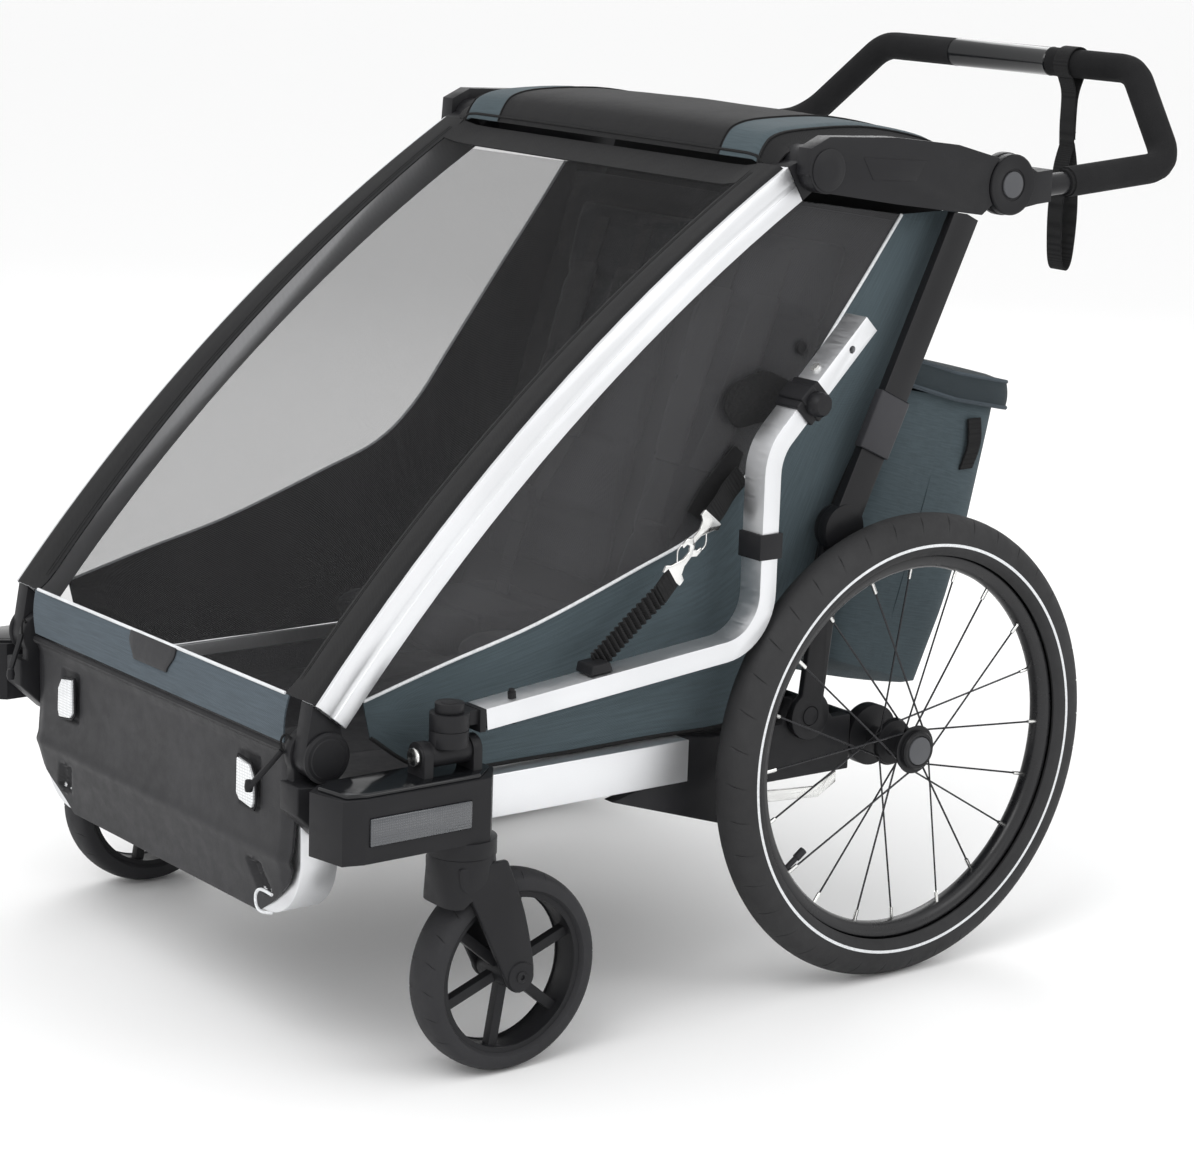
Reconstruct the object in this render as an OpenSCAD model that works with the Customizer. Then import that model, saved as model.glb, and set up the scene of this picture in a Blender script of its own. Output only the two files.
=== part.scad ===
// Two-seat child bicycle trailer with front caster wheels, a push handlebar and a stowed tow arm.
// Front is -Y, the trailer's left side is +X and the tyres stand on z = 0.

/* [Cabin] */
// Width over the outer faces of the two front tubes
frame_w = 600; // [480:1:760]
// Front pivots ahead of the rear axle
front_ahead = 688; // [600:1:830]
// Front pivots above the rear axle
front_up = 75; // [60:1:95]
// Roof pivots ahead of the rear axle
roof_ahead = 120; // [90:1:150]
// Roof pivots above the rear axle
roof_up = 607; // [520:1:720]
// Outward bow of the front tubes
tube_bow = 31; // [10:1:45]

/* [Frame sections] */
// Width of the front tubes, seen from the side
tube_w = 40; // [30:1:50]
// Thickness of the front tubes across the trailer
tube_t = 28; // [20:1:34]
// Height of the lower rails
rail_h = 44; // [34:1:52]
// Thickness of the lower rails
rail_t = 25; // [18:1:28]
// Wall of every aluminium tube
wall = 2; // [1.5:0.1:3]
// Width of the rear tubes, seen from the side
rear_tube_w = 35; // [26:1:42]
// Outer radius of the front hoop's corners
hoop_r = 62; // [40:1:74]

/* [Rear wheels] */
// Outer radius of the rear tyres
wheel_r = 250; // [215:1:300]
// Width of the rear tyres
tyre_w = 47; // [38:1:56]
// Spokes in each rear wheel
spoke_n = 20; // [12:2:32]
// Travel of the axle release buttons
axle_button_travel = 3; // [2:0.5:4]

/* [Casters] */
// Radius of the caster wheels
caster_r = 100.5; // [84:0.5:121]
// Width of the caster tyres
caster_w = 44; // [34:1:52]
// Trail from the swivel axis back to the caster axle
caster_trail = 52; // [40:1:62]
// Radius of the swivel stem
stem_r = 8; // [6:0.5:10]

/* [Handlebar] */
// Reach from the handlebar hinge back to the cross bar
bar_reach = 294; // [245:1:353]
// Rise from the handlebar hinge up to the cross bar
bar_rise = 107; // [89:1:129]
// Radius of the handlebar tube
bar_r = 12; // [10:0.5:14]
// Radius over the foam grip
grip_r = 16.5; // [14.5:0.5:18]
// Travel of the handlebar release buttons
button_travel = 3; // [2:0.5:4]

/* [Tow arm] */
// Width of the tow arm tube, across the trailer
arm_w = 31; // [25:1:36]
// Depth of the tow arm tube in its bending plane
arm_t = 21; // [17:1:25]
// Bend radius of the tow arm
arm_bend_r = 55; // [45:1:66]
// Gap between the stowed arm and the rear tyre
arm_gap = 6.5; // [5:0.5:12]
// Radius of the hitch bolt hole in the arm's end
hitch_hole_r = 4; // [3:0.5:6]

/* [Clearances] */
// Gap between pieces that move past each other
gap = 0.5; // [0.4:0.1:1]
// Radial clearance of a pin in its bore
run_fit = 0.05; // [0.02:0.01:0.1]

/* [Hidden] */
$fn = 64;

// Planes across the trailer, from the cabin wall outwards, on the +X side
tube_out = frame_w / 2;
tube_in = tube_out - tube_t;
strut_in = tube_out + 1.5;
strut_out = strut_in + 9;
rear_in = strut_out + gap;
rear_out = rear_in + 10;
skin_out = rear_out + 1.8;
wheel_x = skin_out + 1.2 + tyre_w / 2;
rail_out = tube_out + 10;
rail_in = rail_out - rail_t;
panel_out = tube_out - 10;
panel_t = 3;
cabin_x = tube_in - 30;

// Pivots as [y, z] from the rear axle: front, roof, knee, base and handlebar
P_front = [-front_ahead, front_up];
P_roof = [-roof_ahead, roof_up];
P_knee = [P_roof[0] + 44, P_roof[1] - 371];
P_base = [P_knee[0] - 23, P_knee[1] - 199];
P_bar = [P_roof[0] + 258, P_roof[1] - 24];
P_rear_top = [P_roof[0] + 195, P_roof[1] - 52];

// Front tube arc through its two ends
tube_low = P_front + [2, 40];
tube_top = P_roof + [-25, -15];
tube_chord = norm(tube_top - tube_low);
tube_R = (tube_chord * tube_chord / 4 + tube_bow * tube_bow) / (2 * tube_bow);
tube_dir = (tube_top - tube_low) / tube_chord;
tube_c = (tube_low + tube_top) / 2 + (tube_R - tube_bow) * [tube_dir[1], -tube_dir[0]];
ang_low = atan2(tube_low[1] - tube_c[1], tube_low[0] - tube_c[0]);
ang_top = atan2(tube_top[1] - tube_c[1], tube_top[0] - tube_c[0]);

// Caster and front end
swivel_y = -front_ahead + 121;
caster_y = swivel_y + caster_trail;
caster_x = wheel_x - 2.5;
caster_z = caster_r - wheel_r;
housing_out = caster_x + 30;
housing_top = 56;
housing_low = -6;
collar_low = -22;
rail_low = -9;
rail_top = rail_low + rail_h;
rail_front = -front_ahead + 100;
rail_back = -262;

// Tow arm path in its bending plane
arm_x = tube_out + 40;
arm_lean = 5.5;
bend_1 = (wheel_r + arm_gap + arm_t / 2 + arm_bend_r) * [-cos(36.2), sin(36.2)];
arm_rise_y = bend_1[0] + arm_bend_r;
arm_up_z = 310;
arm_top_lean = 45;
bend_2 = [arm_rise_y + arm_bend_r, arm_up_z];
arm_run_start = bend_1 + arm_bend_r * [sin(arm_lean), -cos(arm_lean)];
arm_front_y = swivel_y + 19;
arm_front_z = arm_run_start[1] - (arm_run_start[0] - arm_front_y) * tan(arm_lean);
arm_top_l = 150;

// Hitch knuckle: a roll pin along Y below a swing pin along Z
roll_x = arm_x + 5;
roll_z = arm_front_z - 28;
swing_x = arm_x + 10;
swing_y = swivel_y - 21;
roll_pin_r = 6;
swing_pin_r = 8;

// Overall reach decides where the rear axle lies from the origin
front_reach = front_ahead + 56;
rear_reach = P_bar[0] + bar_reach + grip_r;
axle_y = (front_reach - rear_reach) / 2;

// Handlebar points on the +X side
bar_x = tube_out + 3;
bar_a = [bar_x, P_bar[0] + 38, P_bar[1] - 7];
bar_b = [bar_x, P_bar[0] + bar_reach * 0.87, P_bar[1] + 10];
bar_c = [bar_x - 96, P_bar[0] + bar_reach, P_bar[1] + bar_rise];

black = [0.07, 0.07, 0.08];
charcoal = [0.2, 0.2, 0.21];
slate = [0.27, 0.32, 0.35];
alloy = [0.8, 0.81, 0.83];
bright = [0.88, 0.88, 0.88];

function at_angle(c, r, a) = c + r * [cos(a), sin(a)];
function unit(v) = v / norm(v);
function flip(p) = [-p[0], p[1], p[2]];
// Points that round the corner b of the route a-b-c with radius r
function corner_arc(a, b, c, r, n) =
    let (u = unit(a - b), w = unit(c - b), half = acos(u * w) / 2, mid = b + unit(u + w) * r / sin(half),
         e = unit(b + u * r / tan(half) - mid))
    [for (i = [0:n]) let (t = (180 - 2 * half) * i / n) mid + r * (cos(t) * e - sin(t) * u)];
function arc_pts(c, r, a, b, n) = [for (i = [0:n]) at_angle(c, r, a + (b - a) * i / n)];

// Moves a piece drawn from the rear axle to the origin under the trailer
module from_axle() { translate([0, axle_y, wheel_r]) children(); }
// Repeats a +X piece on the other side
module both() {
    children();
    mirror([1, 0, 0]) children();
}
// Extrudes a [y, z] outline from x0 to x1
module yz(x0, x1) { translate([x0, 0, 0]) rotate([90, 0, 90]) linear_extrude(x1 - x0) children(); }
// Cylinder along X at p = [y, z]
module rod_x(p, r, x0, x1) { translate([x0, p[0], p[1]]) rotate([0, 90, 0]) cylinder(h = x1 - x0, r = r); }
// Cylinder along Y
module rod_y(x, z, r, y0, y1) { translate([x, y0, z]) rotate([-90, 0, 0]) cylinder(h = y1 - y0, r = r); }
// Bar bent about X on an arc of radius r, w wide in the arc's plane
module arc_bar(c, r, a, b, w, x0, x1) {
    translate([0, c[0], c[1]]) rotate([90, 0, 90])
        rotate_extrude(angle = b - a, start = a, $fn = 360) translate([r - w / 2, x0]) square([w, x1 - x0]);
}
// Straight bar between p and q = [y, z], w wide
module flat_bar(p, q, w, x0, x1) {
    d = q - p;
    translate([x0, p[0], p[1]]) rotate([atan2(d[1], d[0]), 0, 0])
        translate([0, 0, -w / 2]) cube([x1 - x0, norm(d), w]);
}
// Round bar between two points in space
module rod_between(a, b, r) {
    d = b - a;
    translate(a) rotate([0, acos(d[2] / norm(d)), atan2(d[1], d[0])]) cylinder(h = norm(d), r = r);
}

// Round tube of radius r along a route; ref is never parallel to the route
module sweep(route, r, ref, sides = 20) {
    n = len(route);
    rings = [for (i = [0:n - 1]) let (t = unit(route[min(i + 1, n - 1)] - route[max(i - 1, 0)]),
        u = unit(cross(ref, t)), v = cross(t, u))
        for (k = [0:sides - 1]) route[i] + r * (cos(360 * k / sides) * u + sin(360 * k / sides) * v)];
    walls = [for (i = [0:n - 2], k = [0:sides - 1]) let (a = i * sides + k, b = i * sides + (k + 1) % sides)
        [a, a + sides, b + sides, b]];
    start_cap = [for (k = [0:sides - 1]) k];
    end_cap = [for (k = [sides - 1:-1:0]) (n - 1) * sides + k];
    polyhedron(rings, concat([start_cap], walls, [end_cap]));
}

// ---- chassis ----
module lower_rails() {
    color(alloy) from_axle() both() difference() {
        translate([rail_in, rail_front, rail_low]) cube([rail_t, rail_back - rail_front, rail_h]);
        translate([rail_in + wall, rail_front - 1, rail_low + wall])
            cube([rail_t - 2 * wall, rail_back - rail_front + 2, rail_h - 2 * wall]);
    }
}
module rear_rail_arms() {
    color(black) from_axle() both() {
        yz(rail_in, tube_out + 0.5) polygon([[rail_back + gap, rail_low], [rail_back + gap, rail_top],
            [-225, 30], [P_base[0] - 30, 30], [P_base[0] - 18, P_base[1] + 18],
            [P_base[0] + 18, P_base[1] + 18], [P_base[0] + 40, 28], [-34, 28], [-34, -32], [-205, -30],
            [-205, -66], [-351, -20], [-308, rail_low - gap]]);
        rod_x(P_base, 10, tube_out, strut_out);
    }
}
module axle_beam() {
    color(black) from_axle() {
        rod_x([0, 0], 16, -rail_in, rail_in);
        both() rod_x([0, 0], 33, rail_in, tube_out);
        both() rod_x([0, 0], 10, tube_out, wheel_x - 15);
        both() difference() {
            translate([90, -12, -50]) cube([12, 60, 50]);
            rod_x([34, -34], 6 + run_fit, 80, 120);
            translate([80, 14, -22]) cube([40, 60, 40]);
            rod_x([0, 0], 15, 80, 120);
        }
    }
}
module brake_linkage() {
    color(bright) from_axle() both() {
        yz(rail_in + 4, rail_in + 8)
            polygon([[-150, -42], [-72, -48], [-44, -35], [-44, -47], [-68, -60], [-150, -54]]);
        rod_x([-150, -48], 9, rail_in + 2, rail_in + 12);
    }
}
module brake_pedal() {
    color(black) from_axle() {
        rod_x([34, -34], 6, -108, 108);
        translate([-80, 26, -40]) cube([160, 12, 12]);
        translate([-55, 38, -42]) cube([110, 44, 8]);
    }
}
module floor_pan() {
    color(charcoal) from_axle()
        translate([-rail_in + gap, rail_front, rail_low - 4])
            cube([2 * (rail_in - gap), -40 - rail_front, 5]);
}
module seat_base() {
    color(charcoal) from_axle() hull() {
        translate([-cabin_x, -360, 55]) cube([2 * cabin_x, 20, 30]);
        translate([-cabin_x, -110, 40]) cube([2 * cabin_x, 20, 35]);
    }
}
module seat_back() {
    color(charcoal) from_axle() yz(-cabin_x, cabin_x)
        polygon([[-150, 80], [-120, 80], [22, 540], [-8, 540]]);
}
module harness() {
    color(black) from_axle() for (s = [-1, 1]) {
        for (k = [-1, 1]) yz(s * 115 + k * 40 - 12, s * 115 + k * 40 + 12)
            polygon([[-110, 230], [-106, 230], [-12.5, 536], [-15.5, 536]]);
        yz(s * 115 - 22, s * 115 + 22) polygon([[-130, 195], [-117, 195], [-110, 218], [-123, 218]]);
    }
}
side_edge = arc_pts(tube_c, tube_R - tube_w / 2 - 2, ang_low, ang_top, 8);
// The curved seam where the window meets the lower side panel
seam_points = [[-645, 123], [-550, 148], [-444, 174], [-322, 215], [-247, 243], [-196, 284],
               [-147, 347], [-84, 430], [-34, 494], [11, 554]];
window_seam = [for (p = seam_points) p + [(688 - front_ahead) * min(1, -p[0] / 645), 0]];
module side_panels() {
    color(slate) from_axle() both() yz(panel_out - panel_t, panel_out)
        polygon(concat(
            [[-front_ahead + 101, 38], [-front_ahead + 101, 48], [-front_ahead + 54, 48]],
            [for (p = window_seam) p + [1, -1]],
            [[11, 580], [72, 580], [60, 520], P_knee + [-2, 0], P_base + [22, 70], P_base + [-22, 70],
             [P_base[0] - 40, 38]]));
}
module side_windows() {
    color(charcoal) from_axle() both() yz(panel_out - panel_t, panel_out)
        polygon(concat([[-front_ahead + 40, 75]], side_edge, [[10, 580]],
            [for (i = [len(window_seam) - 1:-1:0]) window_seam[i] + [-0.2, 0.2]]));
}
module rear_cover() {
    color(slate) from_axle() yz(-panel_out + 5, panel_out - 5)
        polygon([[48, 540], [60, 580], [63, 580], [56, 540], [-62, P_knee[1] - 10], [-66, P_knee[1] - 10]]);
}
module cargo_bag() {
    bag_x = 235;
    skin = 6;
    color(slate) from_axle() {
        difference() {
            yz(-bag_x, bag_x)
                polygon([[60, 360], [243, 322], [213, 206], [184, 113], [143, 15], [69, 8], [-20, 72],
                         [-14, 150]]);
            yz(skin - bag_x, bag_x - skin)
                polygon([[68, 400], [238, 400], [235, 322], [206, 208], [177, 116], [139, 21], [71, 14],
                         [-14, 75], [-8, 148]]);
        }
        yz(-bag_x - 4, bag_x + 4) polygon([[56, 364], [56, 388], [74, 392], [249, 351], [249, 326]]);
    }
}
module hoop_bar(inset) {
    leg_x = tube_out - 42 - inset;
    leg_t = 24 - 2 * inset;
    leg_w = 42 - 2 * inset;
    hoop_y = -front_ahead - 4 + inset;
    foot_z = -102 + inset;
    r = hoop_r - inset;
    both() translate([leg_x - leg_t, hoop_y, foot_z + r]) cube([leg_t, leg_w, 40 + inset - foot_z - r]);
    both() translate([leg_x - r, hoop_y + leg_w, foot_z + r]) rotate([90, 0, 0])
        rotate_extrude(angle = 90, start = 270) translate([r - leg_t, 0]) square([leg_t, leg_w]);
    translate([r - leg_x, hoop_y, foot_z]) cube([2 * (leg_x - r), leg_w, leg_t]);
}
module front_hoop() {
    color(alloy) from_axle() difference() {
        hoop_bar(0);
        hoop_bar(wall);
    }
}
module joint_housings() {
    cheek_in = tube_in - 12;
    nose_out = tube_out - 8;
    body = [[-front_ahead - 30, 22], [-front_ahead - 30, 50], [-front_ahead + 12, 46],
            [-front_ahead + 50, 46], [-front_ahead + 99.5, 37], [-front_ahead + 99.5, -10],
            [-front_ahead + 6, -12]];
    color(black) from_axle() both() difference() {
        union() {
            yz(cheek_in, rail_out) polygon(body);
            rod_x(P_front, 26, cheek_in, tube_in - gap);
            yz(cheek_in, tube_in - gap) translate(P_front - [22, 34]) square([44, 34]);
            rod_x(P_front, 7, cheek_in, nose_out - 2);
        }
        translate([nose_out, -front_ahead - 40, -20]) cube([30, 50, 100]);
    }
}
module front_panel() {
    half = tube_out - 44;
    color(black) from_axle() intersection() {
        yz(-half, half) polygon([[-front_ahead - 17, 72], [-front_ahead - 12, 72], [-front_ahead - 8, -36],
            [-front_ahead - 8, -98], [-front_ahead - 12, -98], [-front_ahead - 14, -36]]);
        translate([0, -front_ahead, 0]) rotate([90, 0, 0]) linear_extrude(30)
            polygon([[-half, 73], [half, 73], [half - 2, -50], [half - 26, -76], [half - 76, -99],
                     [76 - half, -99], [26 - half, -76], [2 - half, -50]]);
    }
}
module front_reflectors() {
    color(bright) from_axle() both() translate([165, -front_ahead - 21, 8]) cube([30, 4, 38]);
}
module housing_shell() {
    linear_extrude(housing_top - housing_low)
        polygon([[rail_out + gap, -front_ahead - 20], [caster_x - 20, -front_ahead - 38],
                 [housing_out - 6, -front_ahead - 30], [housing_out, -front_ahead - 10],
                 [housing_out, swivel_y + 12], [housing_out - 28, swivel_y + 34],
                 [rail_out + gap, swivel_y + 34]]);
}
module caster_housing() {
    difference() {
        union() {
            translate([0, 0, housing_low]) housing_shell();
            translate([caster_x, swivel_y, collar_low]) cylinder(h = housing_low - collar_low, r = 34);
        }
        translate([caster_x, swivel_y, collar_low - 1]) cylinder(h = 60, r = stem_r + run_fit);
        translate([housing_out - 2, swivel_y - 125, 10]) cube([5, 115, 28]);
    }
}
module caster_housing_left() {
    color(black) from_axle() {
        caster_housing();
        for (y = [swing_y - 33, swing_y + 23]) difference() {
            union() {
                translate([roll_x - 14, y, housing_top]) cube([28, 10, roll_z - housing_top]);
                rod_y(roll_x, roll_z, 14, y, y + 10);
            }
            rod_y(roll_x, roll_z, roll_pin_r, y - 1, y + 11);
        }
    }
}
module caster_housing_right() { color(black) from_axle() mirror([1, 0, 0]) caster_housing(); }
module side_reflectors() {
    color([0.4, 0.41, 0.43]) from_axle() both()
        translate([housing_out - 1.8, swivel_y - 124.5, 10.5]) cube([3.8, 114, 27]);
}
module hitch_bolt() {
    color(bright) from_axle() {
        rod_y(roll_x, roll_z, roll_pin_r - 0.01, swing_y - 33.5, swing_y + 33);
        rod_y(roll_x, roll_z, 9, swing_y - 38, swing_y - 33.5);
    }
}
module pull_tabs() {
    color(black) from_axle() both() hull() {
        translate([tube_in - 16, -front_ahead - 31, 68]) cube([12, 4, 14]);
        translate([tube_in - 34, -front_ahead - 56, 34]) cube([7, 4, 10]);
    }
}
module body_strap() {
    color(black) from_axle() flat_bar([-268, 262], [-200, 300], 20, tube_out, tube_out + 4);
}
module upper_hook() {
    color(bright) from_axle() flat_bar([-300, 222], [-270, 256], 18, tube_out + 12, tube_out + 16);
}

// ---- front frame ----
module front_tubes() {
    color(alloy) from_axle() both() difference() {
        arc_bar(tube_c, tube_R, ang_top, ang_low, tube_w, tube_in, tube_out);
        arc_bar(tube_c, tube_R, ang_top - 1, ang_low + 1, tube_w - 2 * wall,
                tube_in + wall, tube_out - wall);
        arc_bar(tube_c, tube_R, ang_top - 1, ang_low + 1, 6, tube_out - 0.8, tube_out + 1);
    }
}
module tube_collars() {
    color(black) from_axle() both() {
        difference() {
            union() {
                yz(tube_in, tube_out - 8) polygon([P_front + [-23, 0], P_front + [21, 0],
                    at_angle(tube_c, tube_R - tube_w / 2, ang_low + 0.02),
                    at_angle(tube_c, tube_R + tube_w / 2, ang_low + 0.02)]);
                rod_x(P_front, 23, tube_in, tube_out - 8);
            }
            rod_x(P_front, 7 + run_fit, tube_in - 1, tube_out);
        }
        difference() {
            union() {
                yz(tube_in, tube_out) polygon([P_roof + [0, -22], P_roof + [10, 18],
                    at_angle(tube_c, tube_R + tube_w / 2, ang_top - 0.02),
                    at_angle(tube_c, tube_R - tube_w / 2, ang_top - 0.02)]);
                rod_x(P_roof, 22, tube_in, tube_out);
            }
            rod_x(P_roof, 8, tube_in - 1, tube_out + 1);
        }
        rod_x(P_roof, 7.99, tube_in, rear_out);
    }
}
module front_cover() {
    cover_R = tube_R + tube_w / 2 + gap;
    color(black) from_axle()
        arc_bar(tube_c, cover_R + 1.5, ang_top + 0.4, ang_low, 3, -tube_out + 3, tube_out - 3);
}
module front_band() {
    cover_R = tube_R + tube_w / 2 + gap;
    low = at_angle(tube_c, cover_R, ang_low + 0.05);
    color(slate) from_axle() yz(-tube_in + 20, tube_in - 20)
        polygon([low, low + [2.4, 1.8], [-front_ahead - 16, 79], [-front_ahead - 20, 79]]);
}

// ---- upper frame ----
module side_brackets() {
    hub_r = 33;
    color(black) from_axle() both() difference() {
        union() {
            yz(strut_in, rear_out)
                polygon([P_roof + [-26, -4], P_roof + [-24, 22], P_roof + [0, 33], P_roof + [90, 30],
                         P_roof + [178, 20], P_bar + [-22, 29], P_bar, P_bar + [-42, -30],
                         P_roof + [95, -38], P_roof + [4, -24]]);
            rod_x(P_roof, 24, strut_in, rear_out);
            rod_x(P_bar, hub_r, strut_in, strut_out);
            yz(rear_out, rear_out + 0.8)
                polygon([P_roof + [46, 11], P_roof + [132, 5], P_roof + [120, -15], P_roof + [60, -12]]);
        }
        rod_x(P_roof, 8 + run_fit, strut_in - 1, rear_out + 5);
        rod_x(P_bar, hub_r + 1, rear_in - gap, rear_out + 5);
        rod_x(P_bar, 10 + run_fit, strut_in - 1, rear_out + 5);
    }
}
module roof_bows() {
    color(black) from_axle() {
        rod_x(P_roof + [44, 8], 9, -strut_in + gap, strut_in - gap);
        rod_x(P_roof + [168, 1], 9, -strut_in + gap, strut_in - gap);
    }
}
module roof_cover() {
    crown = [for (t = [0:6]) P_roof + [-16 + 226 * t / 6, 30 + 7 * sin(30 * t) - 2.2 * t]];
    color(black) from_axle() yz(-tube_in - 8, tube_in + 8)
        polygon(concat([P_roof + [-16, 25]], crown, [P_roof + [210, 10]]));
}
module rear_tubes() {
    color(black) from_axle() both() difference() {
        union() {
            flat_bar(P_knee, P_rear_top, rear_tube_w, rear_in, rear_out);
            rod_x(P_knee, 26, rear_in, skin_out);
        }
        yz(rear_in - 1, rear_out + 5)
            polygon([P_roof + [95, -38.6], P_roof + [230, -56.6], P_roof + [230, 40], P_roof + [95, 40]]);
    }
}
module fold_grips() {
    d = P_rear_top - P_knee;
    a = P_knee + d * 0.24;
    b = P_knee + d * 0.42;
    color([0.35, 0.36, 0.38]) from_axle() both() difference() {
        flat_bar(a, b, rear_tube_w + 8, rear_in + 0.2, skin_out);
        flat_bar(a - d * 0.01, b + d * 0.01, rear_tube_w + 2 * gap, rear_in - 1, rear_out + 0.4);
    }
}

// ---- struts ----
module lower_struts() {
    color(black) from_axle() both() difference() {
        union() {
            flat_bar(P_base, P_knee, 30, strut_in, strut_out);
            rod_x(P_base, 26, strut_in, strut_out);
            rod_x(P_knee, 24, strut_in, strut_out);
        }
        rod_x(P_base, 10 + run_fit, strut_in - 1, strut_out + 1);
    }
}

// ---- handlebar ----
bar_bend_r = 45;
bar_ref = [0, -0.62, 0.78];
bar_knots = [bar_a, bar_b, bar_c, flip(bar_c), flip(bar_b), flip(bar_a)];
// Route of the bar over its whole length, its four corners rounded; over lengthens both ends
function bar_route(over) = concat([bar_a + over * unit(bar_a - bar_b)],
    [for (k = [1:4]) each corner_arc(bar_knots[k - 1], bar_knots[k], bar_knots[k + 1], bar_bend_r, 5)],
    [flip(bar_a + over * unit(bar_a - bar_b))]);
module bar_path(r, over) { sweep(bar_route(over), r, bar_ref); }
module handlebar_tube() {
    color(black) from_axle() difference() {
        bar_path(bar_r, 0);
        bar_path(bar_r - wall, 1);
    }
}
module handlebar_grips() {
    color(black) from_axle() difference() {
        bar_path(grip_r, 0);
        bar_path(bar_r + 3 * run_fit, 1);
        both() translate([bar_x - 30, bar_a[1] - 30, bar_a[2] - 30]) cube([60, 90, 60]);
        rod_x([bar_c[1], bar_c[2]], grip_r + 2, -80 - gap, 80 + gap);
    }
}
module centre_sleeve() {
    color(charcoal) from_axle() difference() {
        rod_x([bar_c[1], bar_c[2]], grip_r, -80, 80);
        rod_x([bar_c[1], bar_c[2]], bar_r + run_fit, -81, 81);
    }
}
module handlebar_hubs() {
    color(black) from_axle() both() difference() {
        union() {
            rod_x(P_bar, 32, rear_in, rear_out);
            rod_x(P_bar, 10, strut_in, rear_in);
            yz(bar_x - 14, rear_out)
                polygon([P_bar + [34.5, -22], P_bar + [58, -20], P_bar + [58, 14], P_bar + [34.5, 12]]);
            yz(rear_in, rear_out)
                polygon([P_bar + [10, -26], P_bar + [36, -22], P_bar + [36, 12], P_bar + [10, 26]]);
        }
        rod_x(P_bar, 14 + 0.3, rear_out - button_travel - 3.4, rear_out + 1);
        rod_between(bar_a, bar_b, bar_r + run_fit);
    }
}
module wrist_strap() {
    color(black) from_axle() translate([97, bar_c[1] - 1.5, bar_c[2] - 240])
        cube([25, 3, 240 - grip_r - gap]);
}
module release_button() { rod_x(P_bar, 14, rear_out - 3, skin_out); }
module release_button_left() { color(charcoal) from_axle() release_button(); }
module release_button_right() { color(charcoal) from_axle() mirror([1, 0, 0]) release_button(); }

// ---- tow arm ----
arm_run_dir = [cos(arm_lean), sin(arm_lean)];
arm_top_dir = [sin(arm_top_lean), cos(arm_top_lean)];
arm_end = at_angle(bend_2, arm_bend_r, 180 - arm_top_lean) + arm_top_l * arm_top_dir;
hitch_hole = arm_end - 35 * arm_top_dir;
// One side of the arm, off from its middle line; over lengthens both ends
function arm_side(off, over) = concat(
    [[arm_front_y, arm_front_z] + off * [arm_run_dir[1], -arm_run_dir[0]] - over * arm_run_dir],
    arc_pts(bend_1, arm_bend_r + off, 270 + arm_lean, 360, 12),
    arc_pts(bend_2, arm_bend_r - off, 180, 180 - arm_top_lean, 6),
    [arm_end + off * [arm_top_dir[1], -arm_top_dir[0]] + over * arm_top_dir]);
module arm_run(w, t, over) {
    back = arm_side(t / 2, over);
    front = arm_side(-t / 2, over);
    yz(arm_x - w / 2, arm_x + w / 2) polygon(concat(back, [for (i = [len(front) - 1:-1:0]) front[i]]));
}
module tow_arm_tube() {
    color(alloy) from_axle() difference() {
        arm_run(arm_w, arm_t, 0);
        difference() {
            arm_run(arm_w - 2 * wall, arm_t - 2 * wall, 1);
            rod_x(hitch_hole, 8, arm_x - arm_w, arm_x + arm_w);
        }
        rod_x(hitch_hole, hitch_hole_r, arm_x - arm_w, arm_x + arm_w);
    }
}
module arm_fittings() {
    color(black) from_axle() {
        difference() {
            union() {
                translate([swing_x, swing_y, arm_front_z - 4]) cylinder(h = 16, r = 19);
                translate([arm_x - 10, swing_y + 8, arm_front_z - 4]) cube([22, 24, 14]);
                translate([arm_x - arm_w / 2, arm_front_y - 8, arm_front_z - arm_t / 2 - 1])
                    cube([arm_w, 7, arm_t + 1]);
            }
            translate([swing_x, swing_y, arm_front_z - 10]) cylinder(h = 40, r = swing_pin_r + run_fit);
        }
        difference() {
            translate([arm_x - arm_w / 2 - 0.9, arm_rise_y - arm_t / 2 - 4, 225])
                cube([arm_w + 3, arm_t + 8, 26]);
            translate([arm_x - arm_w / 2 - 0.1, arm_rise_y - arm_t / 2 - 0.1, 215])
                cube([arm_w + 0.2, arm_t + 0.2, 60]);
        }
    }
}
module arm_strap() {
    color(black) from_axle() flat_bar([-405, 162], [-318, 208], 22, arm_x - 22, arm_x - 14);
}
module lower_hook() {
    color(bright) from_axle() flat_bar([-314, 212], [-280, 246], 18, tube_out + 17, tube_out + 21);
}
module hitch_knuckle() {
    color(black) from_axle() difference() {
        union() {
            rod_y(roll_x, roll_z, 12.5, swing_y - 22.5, swing_y + 22.5);
            translate([swing_x, swing_y, roll_z + 8]) cylinder(h = arm_front_z - roll_z - 12.5, r = 19);
            translate([swing_x, swing_y, roll_z + 8]) cylinder(h = 42, r = swing_pin_r);
            translate([swing_x, swing_y, arm_front_z + 12.5]) cylinder(h = 9, r = 14);
        }
        rod_y(roll_x, roll_z, roll_pin_r + run_fit, swing_y - 30, swing_y + 30);
    }
}

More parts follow.
